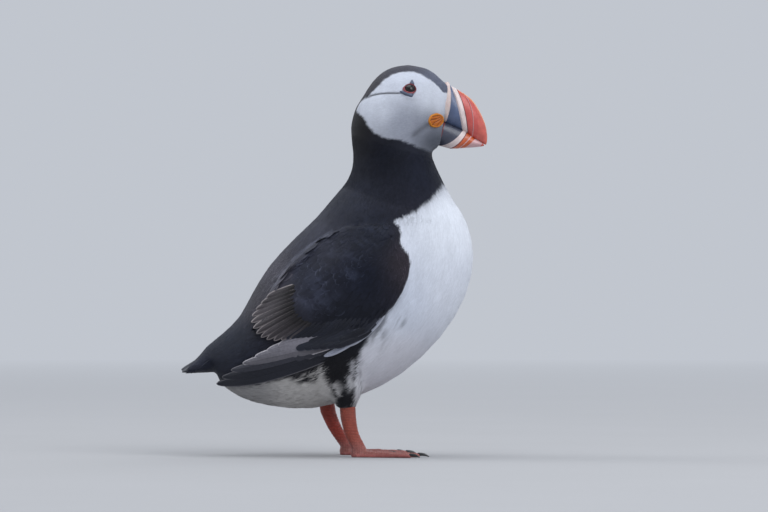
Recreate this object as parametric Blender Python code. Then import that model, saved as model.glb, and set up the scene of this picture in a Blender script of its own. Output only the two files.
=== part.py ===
"""Atlantic puffin, a still life-size model of the standing bird: separate closed solids in one frame.

The bird faces -Y, its right side is -X, and it stands with both soles on z = 0.
Lengths in the tables are millimetres; the solids are made in metres.
A side-view place is given as (forward, up): forward is -Y, measured from a point between the feet.
"""
import math

import bmesh
import bpy
import numpy as np
from mathutils import Vector
from mathutils.bvhtree import BVHTree

MM = 0.001
GAP = 0.30             # clearance between neighbouring solids
SIDES = {"right": -1.0, "left": 1.0}

# Body stations from the rump to the crown: name, back edge, front edge (side-view places), half width,
# narrowing towards the front, and squareness of the section (2 is an ellipse).
BODY = (
    ("rump_end", (-79.0, 68.0), (-70.0, 44.5), 13.5, 0.00, 2.2),
    ("rump", (-69.0, 76.0), (-58.0, 36.5), 24.0, 0.00, 2.2),
    ("vent", (-58.5, 86.5), (-40.0, 31.2), 33.0, 0.00, 2.2),
    ("back_low", (-50.5, 101.0), (-13.0, 29.5), 39.0, 0.00, 2.2),
    ("belly", (-40.0, 118.0), (16.0, 37.5), 42.5, 0.00, 2.2),
    ("belly_front", (-25.5, 134.0), (42.0, 51.0), 44.5, 0.02, 2.15),
    ("breast_low", (-11.0, 148.0), (66.0, 73.5), 45.0, 0.04, 2.1),
    ("breast", (-2.5, 158.0), (81.5, 99.0), 42.5, 0.04, 2.1),
    ("breast_top", (3.5, 165.0), (86.6, 124.0), 37.0, 0.03, 2.0),
    ("neck_base", (8.0, 171.0), (82.0, 145.5), 31.0, 0.02, 2.0),
    ("neck_low", (11.0, 178.0), (74.3, 157.5), 26.5, 0.00, 2.0),
    ("neck", (11.8, 186.5), (67.5, 170.5), 23.6, 0.00, 2.0),
    ("neck_top", (10.9, 195.0), (62.2, 182.0), 22.0, 0.02, 2.0),
    ("throat", (10.4, 203.0), (61.0, 189.0), 22.0, 0.06, 2.0),
    ("cheek_low", (11.5, 209.5), (67.2, 194.5), 22.8, 0.16, 2.0),
    ("cheek", (13.6, 216.0), (71.8, 206.0), 23.2, 0.22, 2.0),
    ("eye_low", (18.2, 223.4), (74.2, 217.0), 21.8, 0.24, 2.0),
    ("eye_high", (23.8, 232.0), (74.4, 228.0), 18.0, 0.22, 2.0),
    ("crown_low", (30.4, 238.3), (68.6, 234.6), 12.6, 0.16, 2.0),
    ("crown", (37.2, 241.5), (57.0, 240.6), 7.0, 0.05, 2.0),
)
CROWN_TOP = (46.0, 242.8)
TRUNK_SPAN = (0.0, 9.0)
NECK_SPAN = (9.0, 12.6)
HEAD_SPAN = (12.6, 19.0)
BODY_POINTS = 26       # points round a body section
BODY_STEPS = 2         # rings from one station to the next

# The face tapers to the bill over this length; at the bill its half width goes by height.
FACE_TAPER = 11.0
FACE_FRONT_HEIGHTS = (190.0, 194.0, 200.0, 208.0, 218.0, 225.0, 230.0, 234.0)
FACE_FRONT_WIDTHS = (4.6, 6.8, 8.6, 9.4, 8.9, 7.6, 6.0, 4.2)

# Bill: each station is top edge, bottom edge, half width, narrowing towards the top.
BILL_BASE = ((70.3, 231.4), (64.2, 192.6))     # plane where the face feathers end
STRIP_LENGTH = 3.0
UPPER_BILL = (
    ((71.2, 231.6), (68.9, 206.9), 7.6, 0.30),
    ((74.6, 229.0), (72.4, 205.0), 7.7, 0.33),
    ((80.0, 225.2), (77.6, 202.2), 7.2, 0.36),
    ((85.6, 220.0), (82.8, 199.3), 6.2, 0.38),
    ((90.0, 213.2), (87.4, 196.8), 4.9, 0.38),
    ((93.0, 205.8), (90.8, 195.0), 3.5, 0.34),
    ((94.6, 199.4), (93.2, 193.6), 2.2, 0.25),
    ((94.9, 195.2), (94.4, 192.9), 1.2, 0.00),
)
LOWER_BILL = (
    ((69.1, 206.1), (65.0, 192.6), 6.9, -0.22),
    ((74.6, 203.1), (71.6, 190.4), 6.8, -0.26),
    ((80.4, 199.9), (78.6, 189.9), 6.0, -0.30),
    ((86.2, 196.8), (85.4, 190.0), 4.6, -0.32),
    ((90.4, 194.5), (90.2, 190.7), 3.1, -0.30),
    ((93.0, 193.0), (92.6, 191.6), 1.6, 0.00),
)
BILL_POINTS = 14
BILL_SQUARENESS = 2.6
BILL_CUT_MARGIN = (14.0, 30.0, 40.0)           # past the plane's ends, ahead of it, and to each side
STRIP_RINGS = ((0.0, 0.3), (0.35, 0.9), (0.75, 0.8), (1.0, 0.1))     # share of its length, swelling
STRIP_TOP = (0.24, 0.97)                       # direction in which the strip's top swells
ROSETTE_PLACE = (61.8, 208.3)
ROSETTE_SIZE = (11.0, 8.8, 2.6)      # along the gape, across it, thick
ROSETTE_TILT = -28.0
ROSETTE_LIFT = 0.5

# Eyes, on both sides of the head.
EYE_PLACE = (47.2, 227.2)
EYE_RADIUS = 4.6
EYE_PROUD = 1.3                      # how far the eyeball stands out of the head's side
RING_RADIUS = 3.4
RING_TUBE = 0.55
RING_SEAT = 0.4                      # depth of the flat seat under the ring
RING_POINTS = (18, 6)                # round the ring, round its tube
HORN_LIFT = 0.5
HORN_POINTS = 8
PAD_RINGS = ((1.0, 0.0), (1.0, 0.35), (0.80, 0.78), (0.45, 1.0))     # share of its size, share of its height
PAD_DROP = 6.0                       # how far above a surface a pad starts to be let down onto it
HORN_PLACES = {"upper": (47.6, 233.2), "lower": (46.2, 221.3)}
HORN_SIZES = {"upper": (3.0, 2.0, 1.0), "lower": (7.6, 1.5, 1.0)}
HORN_TILTS = {"upper": 0.0, "lower": -20.0}

# Folded wing, side view: upper edge, lower edge, greatest thickness.
WING = (
    ((38.4, 143.0), (42.4, 136.6), 1.6),
    ((29.0, 144.9), (46.4, 123.6), 4.4),
    ((15.5, 143.4), (46.0, 112.0), 6.6),
    ((1.0, 139.6), (42.4, 101.0), 7.4),
    ((-10.0, 133.4), (34.2, 90.4), 7.4),
    ((-20.0, 125.6), (21.2, 80.4), 7.0),
    ((-29.6, 115.8), (1.0, 76.4), 6.4),
    ((-37.0, 104.8), (-18.0, 75.4), 5.6),
    ((-43.0, 95.0), (-35.0, 73.4), 4.4),
    ((-50.0, 86.6), (-48.0, 75.4), 3.0),
)
PRIMARIES = (
    ((19.0, 77.8), (18.0, 76.2), 1.2),
    ((2.0, 75.6), (3.4, 66.6), 3.0),
    ((-17.0, 74.6), (-13.5, 59.6), 3.6),
    ((-34.0, 72.7), (-31.0, 53.8), 3.6),
    ((-43.6, 71.6), (-44.6, 49.6), 3.4),
    ((-53.0, 64.6), (-56.0, 46.4), 3.0),
    ((-62.0, 57.6), (-65.0, 44.8), 2.4),
    ((-70.6, 49.0), (-73.0, 45.0), 1.4),
)
WING_ACROSS = 8        # points from the upper edge to the lower edge
WING_STEPS = 2
WING_GAP = 0.6         # between the wing and the trunk beneath it
WING_RELAX = 3         # passes that even out the wing's inner face
WING_HANG = 0.9        # how much closer to the body each place may lie than the one above it

# Tail, side view: upper edge and lower edge of each section, half width at that section.
TAIL = (
    ((-79.4, 67.2), (-73.6, 52.0), 11.5),
    ((-84.0, 61.6), (-79.6, 51.8), 15.0),
    ((-88.4, 57.6), (-85.2, 51.6), 18.0),
    ((-92.4, 54.6), (-90.6, 51.4), 18.6),
    ((-94.9, 52.6), (-94.4, 51.2), 15.0),
)
TAIL_POINTS = 24

# Legs: knee-side centre, ankle and heel in side view, for each side.
LEGS = {
    "right": {"thigh": ((3.5, 58.0), (7.6, 29.4)), "shank": ((8.2, 29.0), (10.8, 15.5), (15.6, 5.5)), "turn": -5.0},
    "left": {"thigh": ((-4.0, 56.0), (-5.4, 31.8)), "shank": ((-5.6, 31.4), (0.4, 17.0), (8.4, 5.5)), "turn": 7.0},
}
LEG_OUT = 22.0         # each leg's distance from the middle plane at the floor
LEG_OUT_TOP = 20.5
THIGH_SIZES = ((18.0, 14.5), (8.0, 7.2))       # half length and half width at the top and at the ankle
SHANK_SIZES = ((5.0, 4.2), (4.4, 3.4), (4.6, 3.6))
SHANK_POINTS = 16
THIGH_POINTS = 18
THIGH_MIDDLE = (0.62, 0.58)            # where the thigh's middle lies, and how far its size has shrunk there

# Webbed foot, laid out from the heel: toe name, length to the claw, heading from straight ahead, radius.
TOES = (("inner", 28.0, 25.0, 2.1), ("middle", 37.5, 3.0, 2.5), ("outer", 35.0, -19.0, 2.3))
TOE_POINTS = 8
TOE_RINGS = ((-0.10, 0.80), (0.05, 1.0), (0.28, 1.02), (0.34, 0.92), (0.52, 1.0), (0.60, 0.86), (0.76, 0.92),
             (0.86, 0.80), (0.94, 0.82), (1.0, 0.58))     # share of its length, swelling at pads and joints
HEEL_BACK = 4.6        # the heel pad's reach behind the ankle
WEB_THICK = 1.5
WEB_DIP = 0.86         # how far the web's edge comes forward between two toes, as a share of toe length
WEB_END = 0.93         # where the web ends on a toe, as a share of toe length
HEEL_SIZE = (3.7, 4.9)                 # half width and half length of the heel pad
HEEL_RINGS = ((0.0, 1.0), (2.4, 1.04), (5.1, 0.95))       # height, swelling
HEEL_POINTS = 14
CLAW_LENGTH = 5.6
CLAW_RADIUS = 1.25
CLAW_POINTS = 8
CLAW_GAP = 0.35
CLAW_HEIGHT = (1.75, 0.9)              # height of its root, and how far it has dropped towards the tip
CLAW_RINGS = ((0.0, 1.0), (0.3, 0.95), (0.6, 0.72), (0.85, 0.42))    # share of its length, share of its girth

COLOURS = {
    "black_feathers": ((0.012, 0.014, 0.022, 1.0), 0.7),
    "crown_feathers": ((0.075, 0.070, 0.085, 1.0), 0.6),
    "white_feathers": ((0.72, 0.74, 0.78, 1.0), 0.8),
    "brown_feathers": ((0.055, 0.050, 0.055, 1.0), 0.6),
    "bill_red": ((0.55, 0.09, 0.05, 1.0), 0.35),
    "bill_strip": ((0.72, 0.66, 0.58, 1.0), 0.5),
    "gape_orange": ((0.72, 0.24, 0.01, 1.0), 0.5),
    "eye_dark": ((0.012, 0.008, 0.006, 1.0), 0.05),
    "eye_ring_red": ((0.42, 0.04, 0.03, 1.0), 0.5),
    "eye_horn": ((0.10, 0.13, 0.20, 1.0), 0.45),
    "foot_orange": ((0.55, 0.09, 0.04, 1.0), 0.45),
    "claw_black": ((0.012, 0.012, 0.012, 1.0), 0.3),
}


def clear_scene():
    """Empties the start-up scene."""
    for item in list(bpy.data.objects):
        bpy.data.objects.remove(item)


def place(point, across=0.0):
    """A side-view place (forward, up) and a distance across, in metres in the bird's frame."""
    return Vector((across * MM, -point[0] * MM, point[1] * MM))


def blend_rows(rows, t):
    """The row of numbers at station number t, on a smooth curve through the rows."""
    rows = np.asarray(rows, float)
    last = len(rows) - 1
    t = min(max(t, 0.0), float(last))
    i = min(int(t), last - 1)
    u = t - i
    before = rows[i - 1] if i > 0 else 2.0 * rows[i] - rows[i + 1]
    after = rows[i + 2] if i + 2 <= last else 2.0 * rows[i + 1] - rows[i]
    a, b = rows[i], rows[i + 1]
    return 0.5 * (2.0 * a + (b - before) * u + (2.0 * before - 5.0 * a + 4.0 * b - after) * u**2
                  + (3.0 * a - before - 3.0 * b + after) * u**3)


def section(first, second, half_width, narrowing, squareness, count, across=0.0):
    """A closed ring round the chord from first to second, narrower towards second."""
    ring = []
    middle = (first + second) / 2.0
    half_chord = (second - first) / 2.0
    for k in range(count):
        turn = 2.0 * math.pi * (k + 0.5) / count
        along = math.copysign(abs(math.cos(turn)) ** (2.0 / squareness), math.cos(turn))
        out = math.copysign(abs(math.sin(turn)) ** (2.0 / squareness), math.sin(turn))
        point = middle + half_chord * along
        ring.append(place(point, across + half_width * out * (1.0 - narrowing * along)))
    return ring


def solid_from_rings(rings, tip=None):
    """A closed mesh skinned over rings of equal count, capped flat, or ended in one point."""
    mesh = bmesh.new()
    rows = [[mesh.verts.new(point) for point in ring] for ring in rings]
    for lower, upper in zip(rows, rows[1:]):
        for k in range(len(lower)):
            n = (k + 1) % len(lower)
            mesh.faces.new((lower[k], lower[n], upper[n], upper[k]))
    mesh.faces.new(list(reversed(rows[0])))
    if tip is None:
        mesh.faces.new(rows[-1])
    else:
        end = mesh.verts.new(tip)
        for k in range(len(rows[-1])):
            mesh.faces.new((rows[-1][k], rows[-1][(k + 1) % len(rows[-1])], end))
    bmesh.ops.recalc_face_normals(mesh, faces=mesh.faces)
    return mesh


def give_material(item, colour):
    """Gives an object its own material of a named colour."""
    tint, roughness = COLOURS[colour]
    material = bpy.data.materials.new(item.name)
    material.use_nodes = True
    shader = material.node_tree.nodes["Principled BSDF"]
    shader.inputs["Base Color"].default_value = tint
    shader.inputs["Roughness"].default_value = roughness
    item.data.materials.clear()
    item.data.materials.append(material)


def finish_mesh(mesh, name, collection, colour=None):
    """Turns a bmesh into a named object with its own material, or into a cutter where no colour is given."""
    bmesh.ops.triangulate(mesh, faces=mesh.faces)
    data = bpy.data.meshes.new(name)
    mesh.to_mesh(data)
    mesh.free()
    item = bpy.data.objects.new(name, data)
    collection.objects.link(item)
    if colour is None:
        item.display_type = "WIRE"
    else:
        give_material(item, colour)
    return item


def apply_boolean(item, cutter, operation):
    """Cuts or joins two meshes with the exact solver and keeps the result."""
    modifier = item.modifiers.new("cut", "BOOLEAN")
    modifier.object = cutter
    modifier.operation = operation
    modifier.solver = "EXACT"
    bpy.context.view_layer.update()
    graph = bpy.context.evaluated_depsgraph_get()
    result = bpy.data.meshes.new_from_object(item.evaluated_get(graph))
    item.modifiers.clear()
    item.data = result
    bpy.data.objects.remove(cutter)


def body_rings(start, end):
    """Body sections from one station number to another, pulled in by half the gap where they meet a neighbour."""
    table = [[*back, *front, width, narrowing, squareness] for _, back, front, width, narrowing, squareness in BODY]
    count = max(2, int(round((end - start) * BODY_STEPS)))
    rings = []
    for step in range(count + 1):
        row = blend_rows(table, start + (end - start) * step / count)
        rings.append(section(row[0:2], row[2:4], row[4], row[5], row[6], BODY_POINTS))
    for ring, inner in ((rings[0], rings[1]), (rings[-1], rings[-2])):
        shift = (sum(inner, Vector()) - sum(ring, Vector())).normalized() * (GAP * 0.55 * MM)
        for k, point in enumerate(ring):
            ring[k] = point + shift
    return rings


def ahead_of_bill_base(point):
    """How far in front of the plane of the bill's base a point in metres lies, in millimetres."""
    side = Vector((-point.y, point.z)) / MM
    return (side - Vector(BILL_BASE[1])).dot(bill_direction())


def taper_face(rings):
    """Narrows the head's sections towards the bill, so that the face meets it without a step."""
    for ring in rings:
        for point in ring:
            share = min(max(1.0 + ahead_of_bill_base(point) / FACE_TAPER, 0.0), 1.0)
            share = share * share * (3.0 - 2.0 * share)
            limit = float(np.interp(point.z / MM, FACE_FRONT_HEIGHTS, FACE_FRONT_WIDTHS)) * MM
            narrow = math.copysign(min(abs(point.x), limit), point.x)
            point.x += (narrow - point.x) * share
    return rings


def wedge_box(corners, half_width):
    """A box whose side-view outline is the given corners."""
    rings = [[place(corner, across) for corner in corners] for across in (-half_width, half_width)]
    return solid_from_rings(rings)


def bill_direction():
    """The direction in which the bill leaves the face, square to its base plane."""
    top, bottom = (Vector(point) for point in BILL_BASE)
    along = (top - bottom).normalized()
    return Vector((along.y, -along.x))


def make_head(parts, cutters):
    """The head, cut square where the bill starts, with a socket for each eye."""
    rings = taper_face(body_rings(*HEAD_SPAN))
    head = finish_mesh(solid_from_rings(rings, place(CROWN_TOP)), "head", parts, "white_feathers")
    top, bottom = (Vector(point) for point in BILL_BASE)
    along = (top - bottom).normalized()
    past, forward, aside = BILL_CUT_MARGIN
    near = [top + along * past, bottom - along * past]
    ahead = bill_direction() * forward
    outline = [near[0], near[1], near[1] + ahead, near[0] + ahead]
    front = finish_mesh(wedge_box(outline, aside), "front_cutter", cutters)
    apply_boolean(head, front, "DIFFERENCE")
    return head


def side_of(tree, point, side):
    """How far out the surface lies at a side-view place, in millimetres, or None off its outline."""
    origin = place(point, side * 200.0)
    hit = tree.ray_cast(origin, Vector((-side, 0.0, 0.0)), 0.2)[0]
    return None if hit is None else abs(hit.x) / MM


def sphere(centre, radius, segments, rows):
    """A faceted ball."""
    mesh = bmesh.new()
    bmesh.ops.create_uvsphere(mesh, u_segments=segments, v_segments=rows, radius=radius * MM)
    sideways = Vector((0.0, 0.0, 1.0)).rotation_difference(Vector((1.0, 0.0, 0.0)))
    bmesh.ops.rotate(mesh, verts=mesh.verts, matrix=sideways.to_matrix())
    bmesh.ops.translate(mesh, verts=mesh.verts, vec=centre)
    return mesh


def surface_frame(tree, point, side):
    """The place and outward normal of the surface at a side-view place."""
    origin = place(point, side * 200.0)
    hit, normal, _, _ = tree.ray_cast(origin, Vector((-side, 0.0, 0.0)), 0.2)
    return hit, normal


def pad(name, tree, point, side, sizes, tilt, parts, colour, count):
    """A low oval cushion draped over a surface: its base follows the surface and its top is domed."""
    hit, normal = surface_frame(tree, point, side)
    ahead = Vector((0.0, -math.cos(math.radians(tilt)), math.sin(math.radians(tilt))))
    ahead = (ahead - normal * ahead.dot(normal)).normalized()
    up = normal.cross(ahead)
    over = normal * PAD_DROP * MM
    rings = []
    for share, height in PAD_RINGS:
        ring = []
        for k in range(count):
            turn = 2.0 * math.pi * k / count
            flat = ahead * (math.cos(turn) * sizes[0] / 2.0 * share) + up * (math.sin(turn) * sizes[1] / 2.0 * share)
            spot = hit + flat * MM
            found = tree.ray_cast(spot + over, -normal, 2.0 * PAD_DROP * MM)[0]
            ring.append((found or spot) + normal * height * sizes[2] * MM)
        rings.append(ring)
    return finish_mesh(solid_from_rings(rings), name, parts, colour)


def lifted_tree(item, distance):
    """The item's surface moved outwards by a distance, for parts that lie on it."""
    mesh = bmesh.new()
    mesh.from_mesh(item.data)
    bmesh.ops.recalc_face_normals(mesh, faces=mesh.faces)
    mesh.normal_update()
    for vert in mesh.verts:
        vert.co += vert.normal * distance * MM
    tree = BVHTree.FromBMesh(mesh)
    mesh.free()
    return tree


def lid_ring(centre, turn):
    """The ring of bare skin round an eye, as a bmesh; turn rotates +X to the outward direction."""
    ring = bmesh.new()
    around, across = RING_POINTS
    rows = []
    for j in range(around):
        spin = 2.0 * math.pi * j / around
        row = []
        for k in range(across):
            roll = 2.0 * math.pi * k / across
            radius = RING_RADIUS + RING_TUBE * (1.0 + math.cos(roll))
            height = RING_TUBE * (1.0 + 0.9 * math.sin(roll))
            spot = Vector((height, radius * math.cos(spin), radius * math.sin(spin)))
            row.append(ring.verts.new(centre + (turn @ spot) * MM))
        rows.append(row)
    for here, after in zip(rows, rows[1:] + rows[:1]):
        for k in range(across):
            n = (k + 1) % across
            ring.faces.new((here[k], here[n], after[n], after[k]))
    bmesh.ops.recalc_face_normals(ring, faces=ring.faces)
    return ring


def ring_seat(centre, normal):
    """A cutter that flattens the head under the lid ring."""
    radius = (RING_RADIUS + 2.0 * RING_TUBE + GAP) * MM
    depth = 20.0 * MM
    cutter = bmesh.new()
    bmesh.ops.create_cone(cutter, cap_ends=True, segments=RING_POINTS[0], radius1=radius, radius2=radius, depth=depth)
    straight = Vector((0.0, 0.0, 1.0)).rotation_difference(normal)
    bmesh.ops.rotate(cutter, verts=cutter.verts, matrix=straight.to_matrix())
    bmesh.ops.translate(cutter, verts=cutter.verts, vec=centre + normal * (depth / 2.0 - RING_SEAT * MM))
    return cutter


def make_eyes(head, parts, cutters):
    """Eyeballs in sockets, each with a ring of skin and two horny plates."""
    tree = lifted_tree(head, 0.0)
    plate_tree = lifted_tree(head, HORN_LIFT)
    for label, side in SIDES.items():
        hit, normal = surface_frame(tree, EYE_PLACE, side)
        centre = hit - normal * (EYE_RADIUS - EYE_PROUD) * MM
        turn = Vector((1.0, 0.0, 0.0)).rotation_difference(normal)
        finish_mesh(sphere(centre, EYE_RADIUS, 14, 8), "eye_" + label, parts, "eye_dark")
        finish_mesh(lid_ring(hit, turn), "eye_ring_" + label, parts, "eye_ring_red")
        apply_boolean(head, finish_mesh(ring_seat(hit, normal), "ring_seat", cutters), "DIFFERENCE")
        socket = finish_mesh(sphere(centre, EYE_RADIUS + GAP, 18, 10), "socket", cutters)
        apply_boolean(head, socket, "DIFFERENCE")
        for kind, point in HORN_PLACES.items():
            pad(f"eye_plate_{kind}_{label}", plate_tree, point, side, HORN_SIZES[kind], HORN_TILTS[kind], parts,
                "eye_horn", HORN_POINTS)


def bill_section(row):
    """One ring of the bill from a row of top edge, bottom edge, half width and narrowing."""
    return section(row[2:4], row[0:2], row[4], row[5], BILL_SQUARENESS, BILL_POINTS)


def make_bill(head, parts):
    """Upper and lower bill, the fleshy strip at the upper bill's base, and the rosettes at the gape."""
    ahead = bill_direction()
    upper = [[*top, *bottom, width, narrow] for top, bottom, width, narrow in UPPER_BILL]
    lower = [[*top, *bottom, width, narrow] for top, bottom, width, narrow in LOWER_BILL]
    first = np.array(upper[0])
    strip = []
    for share, swell in STRIP_RINGS:
        row = first.copy()
        row[0:4] += np.array([*ahead, *ahead]) * (STRIP_LENGTH * share - 0.2)
        row[0:2] += np.array(STRIP_TOP) * swell
        row[4] += swell
        strip.append(bill_section(row))
    finish_mesh(solid_from_rings(strip), "bill_strip", parts, "bill_strip")
    for name, table, start in (("bill_upper", upper, (STRIP_LENGTH + 0.1)), ("bill_lower", lower, 0.0)):
        rings = []
        last = len(table) - 1
        for step in range(2 * last + 1):
            row = np.array(blend_rows(table, step / 2.0))
            if step == 0:
                row[0:4] += np.array([*ahead, *ahead]) * start
            elif step == 1 and start > 0.0:
                continue
            rings.append(bill_section(row))
        finish_mesh(solid_from_rings(rings), name, parts, "bill_red")
    tree = lifted_tree(head, ROSETTE_LIFT)
    for label, side in SIDES.items():
        pad("rosette_" + label, tree, ROSETTE_PLACE, side, ROSETTE_SIZE, ROSETTE_TILT, parts, "gape_orange",
            BILL_POINTS)


def inner_grid(tree, table, gap, relax):
    """Side-view grid over a wing outline and how far out the trunk reaches at each place."""
    rows = [[*top, *bottom, thick] for top, bottom, thick in table]
    steps = (len(rows) - 1) * WING_STEPS
    grid, out, thickness = [], [], []
    for step in range(steps + 1):
        row = blend_rows(rows, step / WING_STEPS)
        top, bottom = row[0:2], row[2:4]
        line, depth, thick = [], [], []
        for k in range(WING_ACROSS):
            share = k / (WING_ACROSS - 1)
            point = top + (bottom - top) * share
            line.append(point)
            depth.append(side_of(tree, point, 1.0))
            thick.append(row[4] * (0.14 + 0.86 * math.sin(math.pi * (0.02 + 0.93 * share)) ** 0.8))
        grid.append(line)
        out.append(depth)
        thickness.append(thick)
    base = np.array([[np.nan if d is None else d for d in depth] for depth in out])
    known = ~np.isnan(base)
    filled = np.where(known, base, 0.0)
    weight = known.astype(float)
    while (weight == 0.0).any():
        total, share = np.zeros_like(filled), np.zeros_like(filled)
        for di, dj in ((1, 0), (-1, 0), (0, 1), (0, -1)):
            moved, had = np.roll(filled, (di, dj), (0, 1)), np.roll(weight, (di, dj), (0, 1))
            edge = np.zeros_like(weight, bool)
            if di:
                edge[0 if di > 0 else -1, :] = True
            if dj:
                edge[:, 0 if dj > 0 else -1] = True
            had = np.where(edge, 0.0, had)
            total += moved * had
            share += had
        fresh = (weight == 0.0) & (share > 0.0)
        filled[fresh] = total[fresh] / share[fresh]
        weight[fresh] = 1.0
    surface = filled + gap
    for column in range(1, WING_ACROSS):
        surface[:, column] = np.maximum(surface[:, column], surface[:, column - 1] - WING_HANG)
    for _ in range(relax):
        padded = np.pad(surface, 1, mode="edge")
        mean = (padded[:-2, 1:-1] + padded[2:, 1:-1] + padded[1:-1, :-2] + padded[1:-1, 2:]) / 4.0
        surface = np.maximum(mean, np.where(known, base + gap, 0.0))
    return grid, surface, np.array(thickness)


def make_shell(name, side, grid, inner, thickness, parts, colour):
    """A closed curved plate over the grid, lying outside the inner surface."""
    mesh = bmesh.new()
    layers = []
    for level in (0.0, 1.0):
        layers.append([[mesh.verts.new(place(point, side * (inner[i][j] + level * thickness[i][j])))
                        for j, point in enumerate(line)] for i, line in enumerate(grid)])
    below, above = layers
    rows, columns = len(grid), len(grid[0])
    for i in range(rows - 1):
        for j in range(columns - 1):
            for layer in layers:
                mesh.faces.new((layer[i][j], layer[i][j + 1], layer[i + 1][j + 1], layer[i + 1][j]))
    rim = [(i, 0) for i in range(rows)] + [(rows - 1, j) for j in range(1, columns)]
    rim += [(i, columns - 1) for i in range(rows - 2, -1, -1)] + [(0, j) for j in range(columns - 2, 0, -1)]
    for (i, j), (m, n) in zip(rim, rim[1:] + rim[:1]):
        mesh.faces.new((below[i][j], below[m][n], above[m][n], above[i][j]))
    bmesh.ops.recalc_face_normals(mesh, faces=mesh.faces)
    finish_mesh(mesh, name, parts, colour)


def make_wings(trunk, parts):
    """Both folded wings and the bundles of long primaries below them."""
    tree = lifted_tree(trunk, 0.0)
    wing = inner_grid(tree, WING, WING_GAP, WING_RELAX)
    primaries = inner_grid(tree, PRIMARIES, WING_GAP, WING_RELAX)
    for label, side in SIDES.items():
        make_shell("wing_" + label, side, *wing, parts, "black_feathers")
        make_shell("primaries_" + label, side, *primaries, parts, "brown_feathers")


def make_tail(parts):
    """The short rounded tail."""
    rows = [[*top, *bottom, width] for top, bottom, width in TAIL]
    rings = []
    for step in range(2 * (len(rows) - 1) + 1):
        row = blend_rows(rows, step / 2.0)
        rings.append(section(row[0:2], row[2:4], row[4], 0.0, 2.3, TAIL_POINTS))
    shift = (rings[1][0] - rings[0][0]).normalized() * GAP * MM
    rings[0] = [point + shift * 0.5 for point in rings[0]]
    finish_mesh(solid_from_rings(rings), "tail", parts, "black_feathers")


def tube(centres, sizes, count):
    """A tapered limb through centres; sizes are half length fore and aft and half width."""
    rings = []
    for centre, (deep, wide) in zip(centres, sizes):
        ring = []
        for k in range(count):
            turn = 2.0 * math.pi * (k + 0.5) / count
            ring.append(centre + Vector((wide * math.sin(turn), -deep * math.cos(turn), 0.0)) * MM)
        rings.append(ring)
    return solid_from_rings(rings)


def smooth_path(points, sizes, steps):
    """Centres and sizes at even steps on a smooth curve through the given ones."""
    rows = [[*point, *size] for point, size in zip(points, sizes)]
    table = [blend_rows(rows, (len(rows) - 1) * k / steps) for k in range(steps + 1)]
    return [Vector(row[:3]) for row in table], [tuple(row[3:5]) for row in table]


def make_thigh(label, side, trunk, parts, cutters):
    """The feathered thigh below the belly, hollowed to lie on the trunk."""
    (top, ankle) = LEGS[label]["thigh"]
    start = place(top, side * (LEG_OUT_TOP - 1.0))
    end = place((ankle[0], ankle[1] + 0.6), side * LEG_OUT_TOP)
    place_share, size_share = THIGH_MIDDLE
    middle = start.lerp(end, place_share)
    middle_size = tuple(a + (b - a) * size_share for a, b in zip(*THIGH_SIZES))
    centres, sizes = smooth_path([start, middle, end], [THIGH_SIZES[0], middle_size, THIGH_SIZES[1]], 8)
    thigh = finish_mesh(tube(centres, sizes, THIGH_POINTS), "thigh_" + label, parts, "white_feathers")
    swollen = bmesh.new()
    swollen.from_mesh(trunk.data)
    swollen.normal_update()
    for vert in swollen.verts:
        vert.co += vert.normal * GAP * MM
    apply_boolean(thigh, finish_mesh(swollen, "swollen_trunk", cutters), "DIFFERENCE")


def foot_point(heel, turn, distance, heading):
    """A place on the floor plane at a distance and heading (degrees towards the bird's left) from the heel."""
    angle = math.radians(turn + heading)
    return heel + Vector((math.sin(angle), -math.cos(angle), 0.0)) * distance * MM


def make_toe(ankle, turn, length, heading, radius):
    """One toe with its pads and joints, flat on the floor, as a bmesh."""
    across = foot_point(ankle, turn + 90.0, 1.0, heading) - ankle
    rings = []
    for share, swell in TOE_RINGS:
        centre = foot_point(ankle, turn, length * share, heading)
        width, height = radius * swell, radius * swell * (1.05 - 0.20 * share)
        ring = []
        for k in range(TOE_POINTS):
            spin = 2.0 * math.pi * (k + 0.5) / TOE_POINTS
            up = max(0.0, height * (0.62 + math.sin(spin)))
            ring.append(centre + across * (width * math.cos(spin)) + Vector((0.0, 0.0, up * MM)))
        rings.append(ring)
    return solid_from_rings(rings)


def make_web(ankle, turn, side):
    """The web between the three toes, with a shallow bay between each two, as a bmesh."""
    outline = []
    for (_, length, heading, _), following in zip(TOES, TOES[1:] + (None,)):
        outline.append(foot_point(ankle, turn, length * WEB_END, -side * heading))
        if following is None:
            continue
        for mix in (0.22, 0.5, 0.78):
            reach = length * (1.0 - mix) + following[1] * mix
            bay = WEB_DIP + (WEB_END - WEB_DIP) * (2.0 * mix - 1.0) ** 2
            between = heading * (1.0 - mix) + following[2] * mix
            outline.append(foot_point(ankle, turn, reach * bay, -side * between))
    for heading in (-110.0, -150.0, 180.0, 150.0, 110.0):
        outline.append(foot_point(ankle, turn, HEEL_BACK, -side * heading))
    return solid_from_rings([[point + Vector((0.0, 0.0, height * MM)) for point in outline]
                             for height in (0.0, WEB_THICK)])


def make_heel(ankle):
    """The pad under the ankle, as a bmesh."""
    wide, deep = HEEL_SIZE
    rings = []
    for height, size in HEEL_RINGS:
        ring = []
        for k in range(HEEL_POINTS):
            spin = 2.0 * math.pi * (k + 0.25) / HEEL_POINTS
            ring.append(ankle + Vector((wide * size * math.sin(spin), deep * size * math.cos(spin), height)) * MM)
        rings.append(ring)
    return solid_from_rings(rings)


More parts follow.
